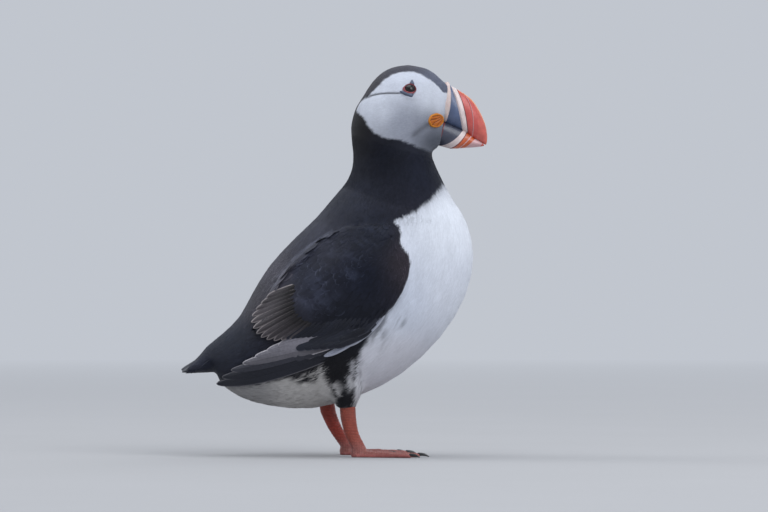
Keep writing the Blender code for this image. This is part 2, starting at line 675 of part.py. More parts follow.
def make_claw(ankle, turn, length, heading):
    """The claw beyond a toe's end, curving down towards its tip, as a bmesh."""
    across = foot_point(ankle, turn + 90.0, 1.0, heading) - ankle
    root, drop = CLAW_HEIGHT
    rings = []
    for share, size in CLAW_RINGS:
        centre = foot_point(ankle, turn, length + CLAW_GAP + CLAW_LENGTH * share, heading)
        centre.z = (root - drop * share**2) * MM
        ring = []
        for k in range(CLAW_POINTS):
            spin = 2.0 * math.pi * (k + 0.5) / CLAW_POINTS
            ring.append(centre + across * (CLAW_RADIUS * size * math.cos(spin) * 0.85)
                        + Vector((0.0, 0.0, CLAW_RADIUS * size * math.sin(spin) * MM)))
        rings.append(ring)
    tip = foot_point(ankle, turn, length + CLAW_GAP + CLAW_LENGTH, heading) + Vector((0.0, 0.0, CLAW_GAP * MM))
    return solid_from_rings(rings, tip)


def make_leg(label, side, parts, cutters):
    """The bare shank, the webbed foot and its three claws."""
    sizes = LEGS[label]
    top, middle, heel = sizes["shank"]
    outs = (LEG_OUT_TOP, (LEG_OUT_TOP + LEG_OUT) / 2.0, LEG_OUT)
    points = [place(point, side * out) for point, out in zip((top, middle, heel), outs)]
    centres, girths = smooth_path(points, SHANK_SIZES, 6)
    centres[0].z -= GAP * MM
    finish_mesh(tube(centres, girths, SHANK_POINTS), "leg_" + label, parts, "foot_orange")
    ankle = place((heel[0], 0.0), side * LEG_OUT)
    turn = sizes["turn"]
    pieces = [make_toe(ankle, turn, length, -side * heading, radius) for _, length, heading, radius in TOES]
    foot = finish_mesh(pieces[0], "foot_" + label, parts, "foot_orange")
    for piece in (*pieces[1:], make_web(ankle, turn, side), make_heel(ankle)):
        apply_boolean(foot, finish_mesh(piece, "joined", cutters), "UNION")
    give_material(foot, "foot_orange")
    for toe, length, heading, _ in TOES:
        claw = make_claw(ankle, turn, length, -side * heading)
        finish_mesh(claw, f"claw_{toe}_{label}", parts, "claw_black")


def build():
    """Makes every solid of the bird."""
    clear_scene()
    parts = bpy.data.collections.new("atlantic_puffin")
    cutters = bpy.data.collections.new("cutters")
    for collection in (parts, cutters):
        bpy.context.scene.collection.children.link(collection)
    cutters.hide_render = True
    trunk = finish_mesh(solid_from_rings(body_rings(*TRUNK_SPAN)), "trunk", parts, "white_feathers")
    finish_mesh(solid_from_rings(body_rings(*NECK_SPAN)), "neck", parts, "black_feathers")
    head = make_head(parts, cutters)
    make_bill(head, parts)
    make_eyes(head, parts, cutters)
    make_wings(trunk, parts)
    make_tail(parts)
    for label, side in SIDES.items():
        make_thigh(label, side, trunk, parts, cutters)
        make_leg(label, side, parts, cutters)


build()
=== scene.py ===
"""Atlantic puffin, a still life-size model: skin, plumage, bill, eyes, legs and studio round the frame.

The bird faces -Y and its right side is -X. Side-view places are (forward, up) in millimetres; forward is -Y.
"""
import logging
import math
from dataclasses import dataclass, field
from enum import Enum
from typing import Callable, Dict, List, NamedTuple, Optional, Sequence, Tuple

import bmesh
import bpy
import numpy as np
from mathutils import Euler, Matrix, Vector
from mathutils.bvhtree import BVHTree


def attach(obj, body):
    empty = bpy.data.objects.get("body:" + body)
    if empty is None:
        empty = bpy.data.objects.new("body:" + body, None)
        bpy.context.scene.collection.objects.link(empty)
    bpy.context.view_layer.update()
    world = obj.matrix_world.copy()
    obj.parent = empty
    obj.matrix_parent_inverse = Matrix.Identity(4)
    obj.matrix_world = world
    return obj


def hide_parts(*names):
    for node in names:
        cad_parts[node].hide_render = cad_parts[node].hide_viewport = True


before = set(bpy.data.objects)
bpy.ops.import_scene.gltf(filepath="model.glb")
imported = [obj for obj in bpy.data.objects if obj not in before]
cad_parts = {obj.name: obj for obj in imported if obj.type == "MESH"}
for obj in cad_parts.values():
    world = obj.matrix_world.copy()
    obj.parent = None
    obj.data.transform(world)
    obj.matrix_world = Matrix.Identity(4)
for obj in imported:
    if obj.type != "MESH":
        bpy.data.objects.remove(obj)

Array = np.ndarray
Place = Tuple[float, float]
Colour = Tuple[float, float, float]
Material = bpy.types.Material
Mesh = bpy.types.Mesh
Socket = bpy.types.NodeSocket
Area = Callable[[Array, Array], Array]

LOG = logging.getLogger("puffin")
MM = 0.001
SIDES: Dict[str, float] = {"right": -1.0, "left": 1.0}
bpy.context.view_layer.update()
PATCH = 0.003          # size of one feather's patch on the bake map
FAR = 1e9              # farther than any place on the bird
FACE_OUT = 6.0         # least distance of the face's sides from the bird's middle, in millimetres
WING_OUT = 22.0        # the same for the wing's face
BACK_OUT = 20.0        # the same for the shoulder feathers
WING_FRONT: Tuple[Place, ...] = (
    (36.5, 145.2), (40.2, 141.6), (41.0, 137.2), (40.3, 132.2), (42.4, 129.0), (45.8, 124.4), (46.8, 119.0),
    (45.6, 111.6), (42.4, 103.0), (37.6, 95.0), (30.0, 86.8), (21.0, 79.6), (8.0, 76.6), (-8.0, 74.6),
    (-26.0, 73.2), (-42.0, 72.6), (-48.6, 75.2))
WING_OUTLINE: Tuple[Place, ...] = WING_FRONT + (
    (-50.6, 86.8), (-43.0, 95.4), (-37.0, 105.2), (-29.6, 116.2), (-20.0, 126.0), (-10.0, 133.8),
    (1.0, 140.0), (15.5, 143.8), (29.0, 145.5))
SCAPULARS: Tuple[Place, ...] = (
    (22.0, 145.0), (8.0, 143.2), (-3.0, 138.8), (-12.0, 132.4), (-22.0, 124.6), (-31.0, 114.6),
    (-37.0, 104.0), (-39.5, 97.0), (-33.0, 90.5), (-22.0, 87.5), (-8.0, 86.8), (4.0, 90.0),
    (12.0, 98.0), (15.0, 108.0), (22.0, 119.0), (31.0, 129.0), (35.5, 140.0), (33.0, 145.0))
SCAPULAR_EDGE: Tuple[Place, ...] = (
    (-1.5, 139.4), (-13.0, 132.0), (-24.0, 123.4), (-34.7, 110.6), (-39.3, 98.6))
WING_FEATHER_ENDS: Tuple[Place, ...] = ((-74.0, 42.0), (30.0, 60.0))
EYE_CREASE: Tuple[Place, ...] = (
    (41.6, 224.4), (38.0, 224.5), (33.0, 224.5), (28.0, 224.1), (23.5, 223.2), (19.5, 221.4), (16.0, 218.6))
ALL_SMOOTH = 180.0     # no edge is sharp


# ---------------------------------------------------------------- small tools

def smoothstep(low: float, high: float, value: Array) -> Array:
    """Rises smoothly from 0 at low to 1 at high."""
    t = np.clip((value - low) / (high - low), 0.0, 1.0)
    return t * t * (3.0 - 2.0 * t)


def unit(rows: Array) -> Array:
    """Each row scaled to length one."""
    return rows / np.maximum(np.linalg.norm(rows, axis=-1, keepdims=True), 1e-9)


def hashed_noise(points: Array, size: float, seed: int) -> Array:
    """Smooth value noise.

    Args:
        points: Places, any unit, one row each.
        size: The size of one blob in that unit.
        seed: Chooses the pattern.

    Returns:
        A number from 0 to 1 for each row.
    """
    cell = points / size
    base = np.floor(cell).astype(np.int64)
    part = cell - base
    part = part * part * (3.0 - 2.0 * part)
    total = np.zeros(len(points))
    for corner in range(8):
        step = np.array([(corner >> axis) & 1 for axis in range(3)])
        spot = base + step
        mixed = spot[:, 0] * 374761393 + spot[:, 1] * 668265263 + spot[:, 2] * 2147483647 + seed * 1274126177
        mixed = (mixed ^ (mixed >> 13)) * 1274126177
        value = ((mixed ^ (mixed >> 16)) & 0xFFFF) / 65535.0
        weight = np.prod(np.where(step == 1, part, 1.0 - part), axis=1)
        total += weight * value
    return total


def curve_through(rows: Array, t: Array) -> Array:
    """Values on a smooth curve through evenly numbered rows.

    Args:
        rows: The values the curve passes through.
        t: Positions on it, as row numbers.

    Returns:
        One row for each position.
    """
    rows = np.asarray(rows, float)
    last = len(rows) - 1
    t = np.clip(np.atleast_1d(t), 0.0, last)
    i = np.minimum(t.astype(int), last - 1)
    u = (t - i)[:, None]
    padded = np.vstack([2.0 * rows[0] - rows[1], rows, 2.0 * rows[-1] - rows[-2]])
    a, b, c, d = padded[i], padded[i + 1], padded[i + 2], padded[i + 3]
    return 0.5 * (2.0 * b + (c - a) * u + (2.0 * a - 5.0 * b + 4.0 * c - d) * u ** 2
                  + (3.0 * b - a - 3.0 * c + d) * u ** 3)


def segment_distance(a: Array, b: Array, points: Array) -> Tuple[Array, Array]:
    """Distance of places from the line between two corners, and how far along it each lies, from 0 to 1."""
    along = b - a
    share = np.clip(((points - a) @ along) / (along @ along), 0.0, 1.0)
    return np.linalg.norm(points - a - share[:, None] * along, axis=1), share


def outline_distance(outline: Sequence[Place], points: Array) -> Array:
    """Signed distance to a closed outline in the side view, positive inside.

    Args:
        outline: Corners of the outline, in millimetres.
        points: Side-view places, one row each.

    Returns:
        The distance of each place, in millimetres.
    """
    corners = np.asarray(outline, float)
    best = np.full(len(points), FAR)
    inside = np.zeros(len(points), bool)
    for a, b in zip(corners, np.roll(corners, -1, axis=0)):
        best = np.minimum(best, segment_distance(a, b, points)[0])
        crosses = (a[1] > points[:, 1]) != (b[1] > points[:, 1])
        rise = np.where(abs(b[1] - a[1]) < 1e-9, 1e-9, b[1] - a[1])
        inside ^= crosses & (points[:, 0] < (b[0] - a[0]) * (points[:, 1] - a[1]) / rise + a[0])
    return np.where(inside, best, -best)


def along_path(path: Sequence[Place], points: Array) -> Tuple[Array, Array, Array]:
    """The nearest stretch of an open path in the side view.

    Args:
        path: Points of the path.
        points: Side-view places.

    Returns:
        The distance of each place from the path, how far along the path its nearest point lies, from 0 to 1,
        and the direction of the path there.
    """
    corners = np.asarray(path, float)
    best, where, heading = np.full(len(points), FAR), np.zeros(len(points)), np.zeros((len(points), 2))
    for i, (a, b) in enumerate(zip(corners[:-1], corners[1:])):
        distance, share = segment_distance(a, b, points)
        nearer = distance < best
        best[nearer] = distance[nearer]
        where[nearer] = ((i + share) / (len(corners) - 1))[nearer]
        heading[nearer] = (b - a) / np.linalg.norm(b - a)
    return best, where, heading


def side_view(points: Array) -> Array:
    """Side-view places in millimetres of points in metres."""
    return columns(-points[:, 1], points[:, 2]) / MM


def columns(*values: Array) -> Array:
    """Values side by side, one column each."""
    return np.stack(values, axis=1)


def read(data: bpy.types.bpy_prop_collection, name: str, width: int, kind: type = float) -> Array:
    """One value of every element of a mesh, as rows of that width."""
    values = np.empty(len(data) * width, kind)
    data.foreach_get(name, values)
    return values.reshape(-1, width)


def triangles(mesh: Mesh) -> Array:
    """The mesh's triangles, as rows of three indices."""
    mesh.calc_loop_triangles()
    return read(mesh.loop_triangles, "vertices", 3, int)


class Neighbours:
    """Which points of a mesh share an edge."""

    def __init__(self, mesh: Mesh) -> None:
        """Reads the mesh's edges in both directions."""
        a, b = read(mesh.edges, "vertices", 2, int).T
        self.ends, self.others = np.concatenate([a, b]), np.concatenate([b, a])
        self.count = len(mesh.vertices)
        self.degree = np.bincount(self.ends, minlength=self.count)[:, None]

    def total(self, values: Array) -> Array:
        """The sum of each point's neighbours, for rows of three values."""
        return columns(*(np.bincount(self.ends, values[self.others, k], self.count) for k in range(3)))

    def evened(self, points: Array, share: object) -> Array:
        """Points moved by a share of the way to the mean of their neighbours."""
        return points + (self.total(points) / self.degree - points) * share


def remeshed(names: Sequence[str], shape: Callable[[str, bmesh.types.BMesh], None], voxel: float) -> Mesh:
    """Joins nodes of the frame into one evenly meshed skin.

    Args:
        names: The nodes.
        shape: Changes a node's welded copy before it is joined.
        voxel: The mesh's fineness in metres.

    Returns:
        The skin, as a mesh that isn't in the scene.
    """
    joined = bmesh.new()
    for name in names:
        part = bmesh.new()
        part.from_mesh(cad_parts[name].data)
        bmesh.ops.remove_doubles(part, verts=part.verts, dist=1e-6)
        bmesh.ops.recalc_face_normals(part, faces=part.faces)
        part.normal_update()
        shape(name, part)
        scrap = bpy.data.meshes.new("scrap")
        part.to_mesh(scrap)
        part.free()
        joined.from_mesh(scrap)
        bpy.data.meshes.remove(scrap)
    source = bpy.data.meshes.new("scrap")
    joined.to_mesh(source)
    joined.free()
    item = placed("scrap", source)
    remesh = item.modifiers.new("remesh", "REMESH")
    remesh.mode = "VOXEL"
    remesh.voxel_size = voxel
    bpy.context.view_layer.update()
    made = bpy.data.meshes.new_from_object(item.evaluated_get(bpy.context.evaluated_depsgraph_get()))
    bpy.data.objects.remove(item)
    bpy.data.meshes.remove(source)
    return made


BILL_TOP: Place = (70.3, 231.4)
BILL_LOW: Place = (64.2, 192.6)
BILL_AHEAD = np.array([BILL_TOP[1] - BILL_LOW[1], BILL_LOW[0] - BILL_TOP[0]]) / math.hypot(
    BILL_TOP[0] - BILL_LOW[0], BILL_TOP[1] - BILL_LOW[1])


def ahead_of_bill(side: Array) -> Array:
    """How far in front of the bill's base side-view places lie, in millimetres."""
    return (side - np.array(BILL_LOW)) @ BILL_AHEAD


@dataclass
class MeshParts:
    """Vertices, triangles and per-vertex values of one mesh."""

    name: str
    points: Array
    faces: Array
    colours: Dict[str, Array] = field(default_factory=dict)
    vectors: Dict[str, Array] = field(default_factory=dict)
    bake_uv: Optional[Array] = None
    sharp_angle: float = 70.0
    normals: Optional[Array] = None

    def make(self, material: Material) -> bpy.types.Object:
        """Builds the object.

        Args:
            material: Its finish.

        Returns:
            The object, linked to the scene.
        """
        mesh = bpy.data.meshes.new(self.name)
        faces = np.ascontiguousarray(self.faces, np.int32)
        mesh.vertices.add(len(self.points))
        mesh.vertices.foreach_set("co", np.ascontiguousarray(self.points, np.float32).ravel())
        mesh.loops.add(faces.size)
        mesh.loops.foreach_set("vertex_index", faces.ravel())
        mesh.polygons.add(len(faces))
        mesh.polygons.foreach_set("loop_start", np.arange(0, faces.size, faces.shape[1], dtype=np.int32))
        mesh.polygons.foreach_set("use_smooth", np.ones(len(faces), bool))
        mesh.update(calc_edges=True)
        if self.bake_uv is not None:
            layer = mesh.uv_layers.new(name="OFBake")
            corners = np.ascontiguousarray(self.bake_uv[faces.ravel()], np.float32)
            layer.uv.foreach_set("vector", corners.ravel())
        for name, values in self.colours.items():
            rgba = np.ones((len(values), 4), np.float32)
            rgba[:, :values.shape[1]] = values
            mesh.attributes.new(name, "FLOAT_COLOR", "POINT").data.foreach_set("color", rgba.ravel())
        for name, values in self.vectors.items():
            mesh.attributes.new(name, "FLOAT_VECTOR", "POINT").data.foreach_set(
                "vector", np.ascontiguousarray(values, np.float32).ravel())
        if self.normals is None:
            mesh.set_sharp_from_angle(angle=math.radians(self.sharp_angle))
        else:
            mesh.normals_split_custom_set_from_vertices(self.normals.tolist())
        mesh.materials.append(material)
        return placed(self.name, mesh)


def grid_faces(rows: int, columns: int, wrap: bool) -> Array:
    """Triangles of a grid of points.

    Args:
        rows: Number of rows.
        columns: Points in each row.
        wrap: Whether each row closes on itself.

    Returns:
        Triangles as rows of three indices.
    """
    i, j = np.meshgrid(np.arange(rows - 1), np.arange(columns if wrap else columns - 1), indexing="ij")
    a = i * columns + j
    b = i * columns + (j + 1) % columns
    c, d = b + columns, a + columns
    quads = np.stack([a, b, c, d], axis=-1).reshape(-1, 4)
    return np.vstack([quads[:, [0, 1, 2]], quads[:, [0, 2, 3]]])


def placed(name: str, data: bpy.types.ID) -> bpy.types.Object:
    """A new object of the scene that holds some data."""
    item = bpy.data.objects.new(name, data)
    bpy.context.scene.collection.objects.link(item)
    return item


def facing_out(points: Array, faces: Array) -> Array:
    """A closed mesh's triangles, turned over if they face inwards."""
    corner = points[faces]
    volume = np.einsum("ij,ij->i", corner[:, 0], np.cross(corner[:, 1], corner[:, 2])).sum()
    return faces[:, ::-1] if volume < 0 else faces


def closed_loft(rings: Array) -> Tuple[Array, Array]:
    """Closes a stack of rings with a fan at each end.

    Args:
        rings: Rings of points, as rings by points by three.

    Returns:
        Points and triangles, facing outwards.
    """
    count, around = rings.shape[:2]
    points = np.vstack([rings.reshape(-1, 3), rings[0].mean(0), rings[-1].mean(0)])
    faces = [grid_faces(count, around, True)]
    k = np.arange(around)
    faces.append(columns(k, np.full(around, count * around), (k + 1) % around))
    last = (count - 1) * around
    faces.append(columns(last + (k + 1) % around, np.full(around, count * around + 1), last + k))
    return points, facing_out(points, np.vstack(faces))


def settle(piece: MeshParts, finish: Material, replaced: Sequence[str] = ()) -> None:
    """Builds a piece and fixes it to the model.

    Args:
        piece: The piece.
        finish: Its material.
        replaced: CAD nodes that it stands for.
    """
    item = piece.make(finish)
    if replaced:
        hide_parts(*replaced)
    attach(item, "root")
    LOG.info("%s: %d triangles", item.name, sum(len(p.vertices) - 2 for p in item.data.polygons))


# ---------------------------------------------------------------- finishes

class NodeWriter:
    """Writes shader nodes one after another."""

    def __init__(self, name: str) -> None:
        """Starts a material of that name."""
        self.material = bpy.data.materials.new(name)
        self.material.use_nodes = True
        self.tree = self.material.node_tree
        self.shader = self.tree.nodes["Principled BSDF"]

    def put(self, kind: str, **settings: object) -> bpy.types.Node:
        """A new node with its settings and unlinked input values.

        Args:
            kind: The node's Blender type.
            settings: Attributes; a name starting with in_ sets the input of that number.

        Returns:
            The node.
        """
        node = self.tree.nodes.new(kind)
        for key, value in settings.items():
            if key.startswith("in_"):
                node.inputs[int(key[3:])].default_value = value
            else:
                setattr(node, key, value)
        return node

    def join(self, source: Socket, target: Socket) -> None:
        """Links two sockets."""
        self.tree.links.new(source, target)

    def maths(self, operation: str, first: object, second: object = None,
              third: object = None) -> Socket:
        """A Math node on sockets or numbers, giving its output."""
        node = self.put("ShaderNodeMath", operation=operation)
        for index, value in enumerate((first, second, third)):
            if value is None:
                continue
            if isinstance(value, (int, float)):
                node.inputs[index].default_value = value
            else:
                self.join(value, node.inputs[index])
        return node.outputs[0]

    def noise(self, scale: float, detail: float = 3.0, roughness: float = 0.5) -> Socket:
        """Noise on the model's own coordinates, giving its value."""
        node = self.put("ShaderNodeTexNoise")
        node.inputs["Scale"].default_value = scale
        node.inputs["Detail"].default_value = detail
        node.inputs["Roughness"].default_value = roughness
        self.join(self.place(), node.inputs["Vector"])
        return node.outputs[0]

    def place(self) -> Socket:
        """The model's own coordinates."""
        return self.put("ShaderNodeTexCoord").outputs["Object"]

    def cells(self, scale: float, stretch: Tuple[float, float, float],
              turn: Tuple[float, float, float] = (0.0, 0.0, 0.0)) -> Socket:
        """Distance from the edges of cells, which may be stretched and turned."""
        bent = self.put("ShaderNodeMapping")
        bent.inputs["Scale"].default_value = stretch
        bent.inputs["Rotation"].default_value = turn
        self.join(self.place(), bent.inputs[0])
        node = self.put("ShaderNodeTexVoronoi", feature="DISTANCE_TO_EDGE")
        node.inputs["Scale"].default_value = scale
        self.join(bent.outputs[0], node.inputs["Vector"])
        return node.outputs[0]

    def spread(self, value: Socket, low: float, high: float,
               to_low: float = 0.0, to_high: float = 1.0) -> Socket:
        """A Map Range from low and high to new limits."""
        node = self.put("ShaderNodeMapRange")
        for index, number in ((1, low), (2, high), (3, to_low), (4, to_high)):
            node.inputs[index].default_value = number
        self.join(value, node.inputs[0])
        return node.outputs[0]

    def mix(self, factor: object, first: object, second: object, blend: str = "MIX") -> Socket:
        """Mixes two colours; each may be a socket or a colour."""
        node = self.put("ShaderNodeMix", data_type="RGBA", blend_type=blend)
        for index, value in ((0, factor), (6, first), (7, second)):
            if isinstance(value, Socket):
                self.join(value, node.inputs[index])
            elif isinstance(value, (int, float)):
                node.inputs[index].default_value = value
            else:
                node.inputs[index].default_value = (*value, 1.0)
        return node.outputs[2]

    def bump(self, height: Socket, strength: float, distance: float) -> None:
        """Bumps the surface by a height."""
        node = self.put("ShaderNodeBump")
        node.inputs["Strength"].default_value = strength
        node.inputs["Distance"].default_value = distance
        self.join(height, node.inputs["Height"])
        self.join(node.outputs[0], self.shader.inputs["Normal"])

    def attribute(self, name: str) -> bpy.types.Node:
        """The node that reads a mesh attribute."""
        return self.put("ShaderNodeAttribute", attribute_name=name)

    def lay(self) -> Sequence[Socket]:
        """The three values of a piece's own lay, such as along, across and chance."""
        split = self.put("ShaderNodeSeparateXYZ")
        self.join(self.attribute("lay").outputs["Vector"], split.inputs[0])
        return split.outputs

    def shaded(self, colour: object, tone: Socket) -> Socket:
        """A colour multiplied by a tone."""
        grey = self.put("ShaderNodeCombineColor")
        for index in range(3):
            self.join(tone, grey.inputs[index])
        return self.mix(1.0, colour, grey.outputs[0], "MULTIPLY")

    def surface(self, colour: Socket, roughness: Socket) -> None:
        """Gives the shader its colour and roughness."""
        self.join(colour, self.shader.inputs["Base Color"])
        self.join(roughness, self.shader.inputs["Roughness"])

    def fixed(self, **values: float) -> None:
        """Sets shader sockets that are the same everywhere; underscores stand for spaces."""
        for name, value in values.items():
            self.shader.inputs[name.replace("_", " ")].default_value = value


@dataclass(frozen=True)
class PlumageFinish:
    """Feathers: barbs, a faint shaft, a fringe of its own tint and a shaded root."""

    name: str
    barbs: float = 14.0
    barb_depth: float = 0.35
    fringe: float = 0.25
    root_shade: float = 0.35
    shaft: float = 0.2
    variety: float = 0.16
    roughness: float = 0.62
    sheen: float = 0.05
    specular: float = 0.2

    def make(self) -> Material:
        """The material, read from each feather's tint, fringe tint and lay."""
        w = NodeWriter(self.name)
        tint = w.attribute("tint").outputs["Color"]
        rim = w.attribute("rim")
        along, across, chance = w.lay()
        wide = w.maths("ABSOLUTE", across)
        phase = w.maths("MULTIPLY_ADD", wide, 0.8, w.maths("MULTIPLY", along, -1.6))
        barbs = w.maths("SINE", w.maths("MULTIPLY", phase, self.barbs * math.pi))
        ragged = w.noise(2600.0, 2.0)
        tone = w.spread(chance, 0.0, 1.0, 1.0 - self.variety, 1.0 + self.variety)
        tone = w.maths("MULTIPLY", tone, w.spread(barbs, -1.0, 1.0, 1.0 - 0.28 * self.barb_depth, 1.0))
        tone = w.maths("MULTIPLY", tone, w.spread(along, 0.0, 0.55, 1.0 - self.root_shade, 1.0))
        tone = w.maths("MULTIPLY", tone, w.spread(w.noise(700.0, 3.0), 0.3, 0.7, 1.0 - 0.5 * self.variety,
                                                  1.0 + 0.5 * self.variety))
        tone = w.maths("MULTIPLY", tone, w.spread(wide, 0.0, 0.09, 1.0 - self.shaft, 1.0))
        colour = w.shaded(tint, tone)
        edge = w.maths("MULTIPLY_ADD", ragged, 0.3, rim.outputs["Alpha"])
        edge = w.spread(edge, 0.80, 1.10, 0.0, self.fringe)
        w.surface(w.mix(edge, colour, rim.outputs["Color"]),
                  w.spread(ragged, 0.2, 0.8, self.roughness - 0.08, self.roughness + 0.1))
        w.bump(w.maths("MULTIPLY_ADD", ragged, 0.4, barbs), self.barb_depth, 0.00012)
        w.fixed(Sheen_Weight=self.sheen, Sheen_Roughness=0.45, Specular_IOR_Level=self.specular)
        return w.material


@dataclass(frozen=True)
class UnderskinFinish:
    """Down and skin between the feathers, with the same markings as the coat."""

    name: str

    def make(self) -> Material:
        """The material, from the markings on the skin's own points."""
        w = NodeWriter(self.name)
        tint = w.attribute("tint").outputs["Color"]
        down = w.noise(1500.0, 4.0, 0.6)
        colour = w.mix(w.spread(down, 0.3, 0.7, 0.08, 0.3), tint, (0.0, 0.0, 0.0))
        w.surface(colour, w.spread(down, 0.2, 0.8, 0.75, 0.95))
        w.bump(down, 0.5, 0.0004)
        w.fixed(Sheen_Weight=0.2, Specular_IOR_Level=0.2)
        return w.material


@dataclass(frozen=True)
class HornFinish:
    """Painted-looking horn of the bill, plates and claws: fine growth lines, scuffs and a satin gloss."""

    name: str
    tint: Optional[Colour] = None
    roughness: float = 0.34
    grain: float = 0.25
    line_scale: float = 900.0
    coat: float = 0.25
    scuff: Colour = (0.75, 0.62, 0.55)
    scuff_share: float = 0.07

    def make(self) -> Material:
        """The material, from its own tint or the mesh's colours."""
        w = NodeWriter(self.name)
        base = w.attribute("tint").outputs["Color"] if self.tint is None else self.tint
        cloudy = w.noise(260.0, 4.0, 0.6)
        fine = w.noise(self.line_scale * 2.2, 3.0, 0.6)
        colour = w.shaded(base, w.spread(cloudy, 0.3, 0.7, 0.82, 1.1))
        scratch = w.cells(420.0, (1.0, 0.35, 1.6), (0.5, 0.0, 0.0))
        worn = w.maths("MULTIPLY", w.spread(scratch, 0.0, 0.05, self.scuff_share, 0.0),
                       w.spread(cloudy, 0.45, 0.65))
        colour = w.mix(worn, colour, self.scuff)
        w.surface(colour, w.spread(fine, 0.25, 0.75, self.roughness - 0.08, self.roughness + 0.12))
        w.bump(w.maths("ADD", fine, w.maths("MULTIPLY", cloudy, 0.6)), self.grain, 0.00015)
        w.fixed(Coat_Weight=self.coat, Coat_Roughness=0.28, Specular_IOR_Level=0.45)
        return w.material


@dataclass(frozen=True)
class FleshFinish:
    """Bare skin: folds, tiny scales or pits, and a soft under-glow."""

    name: str
    tint: Optional[Colour]
    deep: Colour
    cells: float = 900.0
    cell_depth: float = 0.6
    cell_distance: float = 0.0002
    roughness: float = 0.5
    glow: float = 0.12
    stretch: Tuple[float, float, float] = (1.0, 1.0, 1.0)

    def make(self) -> Material:
        """The material, from its own tint or the mesh's colours."""
        w = NodeWriter(self.name)
        scale = w.spread(w.cells(self.cells, self.stretch), 0.0, 0.22)
        cloudy = w.noise(350.0, 4.0, 0.6)
        base = w.attribute("tint").outputs["Color"] if self.tint is None else self.tint
        colour = w.mix(w.spread(cloudy, 0.3, 0.75, 0.0, 0.55), base, self.deep)
        colour = w.mix(w.spread(scale, 0.0, 0.6, 0.55, 0.0), colour, self.deep)
        w.surface(colour, w.spread(cloudy, 0.2, 0.8, self.roughness - 0.1, self.roughness + 0.12))
        w.bump(w.maths("MULTIPLY_ADD", cloudy, 0.5, scale), self.cell_depth, self.cell_distance)
        w.fixed(Subsurface_Weight=self.glow, Subsurface_Scale=0.002, Specular_IOR_Level=0.4)
        return w.material


@dataclass(frozen=True)
class EyeFinish:
    """Dark iris round a black pupil under a wet cornea."""

    name: str
    iris: Colour = (0.014, 0.006, 0.007)
    rim: Colour = (0.004, 0.003, 0.004)

    def make(self) -> Material:
        """The material, from the mesh attribute that runs from the pupil's centre outwards."""
        w = NodeWriter(self.name)
        out = w.lay()[0]
        fibres = w.noise(3000.0, 3.0)
        iris = w.mix(w.spread(fibres, 0.3, 0.7), self.iris, self.rim)
        colour = w.mix(w.spread(out, 0.36, 0.42), (0.0005, 0.0005, 0.0006), iris)
        colour = w.mix(w.spread(out, 0.62, 0.72), colour, self.rim)
        w.surface(colour, w.spread(fibres, 0.2, 0.8, 0.08, 0.14))
        w.bump(fibres, 0.02, 0.00002)
        w.fixed(Coat_Weight=0.35, Coat_Roughness=0.02, Specular_IOR_Level=0.25)
        return w.material


@dataclass(frozen=True)
class StudioFinish:
    """The floor's plain matt paint, which fades into the backdrop far from the bird."""

    name: str = "studio_floor"
    tint: Colour = (0.40, 0.40, 0.41)
    backdrop: Colour = (0.86, 0.91, 1.0)
    glow: float = 0.62
    fade: Tuple[float, float] = (0.3, 3.0)

    def make(self) -> Material:
        """The material."""
        w = NodeWriter(self.name)
        cloudy = w.noise(6.0, 3.0)
        reach = w.put("ShaderNodeVectorMath", operation="LENGTH")
        w.join(w.place(), reach.inputs[0])
        far = w.spread(reach.outputs["Value"], *self.fade)
        w.surface(w.mix(w.spread(cloudy, 0.3, 0.7, 0.0, 0.06), self.tint, (0.3, 0.3, 0.3)),
                  w.spread(cloudy, 0.2, 0.8, 0.8, 0.9))
        w.fixed(Specular_IOR_Level=0.1)
        light = w.put("ShaderNodeEmission")
        light.inputs["Color"].default_value = (*self.backdrop, 1.0)
        light.inputs["Strength"].default_value = self.glow
        blend = w.put("ShaderNodeMixShader")
        w.join(far, blend.inputs[0])
        w.join(w.shader.outputs[0], blend.inputs[1])
        w.join(light.outputs[0], blend.inputs[2])
        w.join(blend.outputs[0], w.tree.nodes["Material Output"].inputs["Surface"])
        return w.material


# ---------------------------------------------------------------- markings

class Tract(Enum):
    """Soft centres of the plumage's dark tints: side-view place and colour."""

    FOREHEAD = ((63.0, 234.5), (0.150, 0.165, 0.230))
    CROWN = ((45.0, 241.0), (0.080, 0.078, 0.100))
    HINDCROWN = ((22.0, 228.0), (0.060, 0.056, 0.068))
    NAPE = ((12.0, 206.0), (0.010, 0.009, 0.011))
    NECK = ((34.0, 182.0), (0.008, 0.010, 0.019))
    THROAT = ((60.0, 180.0), (0.014, 0.017, 0.032))
    MANTLE = ((8.0, 158.0), (0.021, 0.024, 0.040))
    UPPER_BACK = ((-14.0, 140.0), (0.048, 0.050, 0.072))
    BACK = ((-36.0, 116.0), (0.074, 0.070, 0.090))
    LOWER_BACK = ((-49.0, 98.0), (0.050, 0.047, 0.060))
    RUMP = ((-64.0, 76.0), (0.014, 0.018, 0.034))
    SCAPULAR = ((-18.0, 112.0), (0.018, 0.021, 0.038))
    COVERTS = ((20.0, 112.0), (0.008, 0.011, 0.024))
    SHOULDER = ((26.0, 137.0), (0.007, 0.010, 0.022))
    BEND = ((46.0, 121.0), (0.040, 0.032, 0.042))
    LOWER_WING = ((8.0, 86.0), (0.011, 0.013, 0.022))
    FLANK = ((0.0, 55.0), (0.010, 0.010, 0.013))


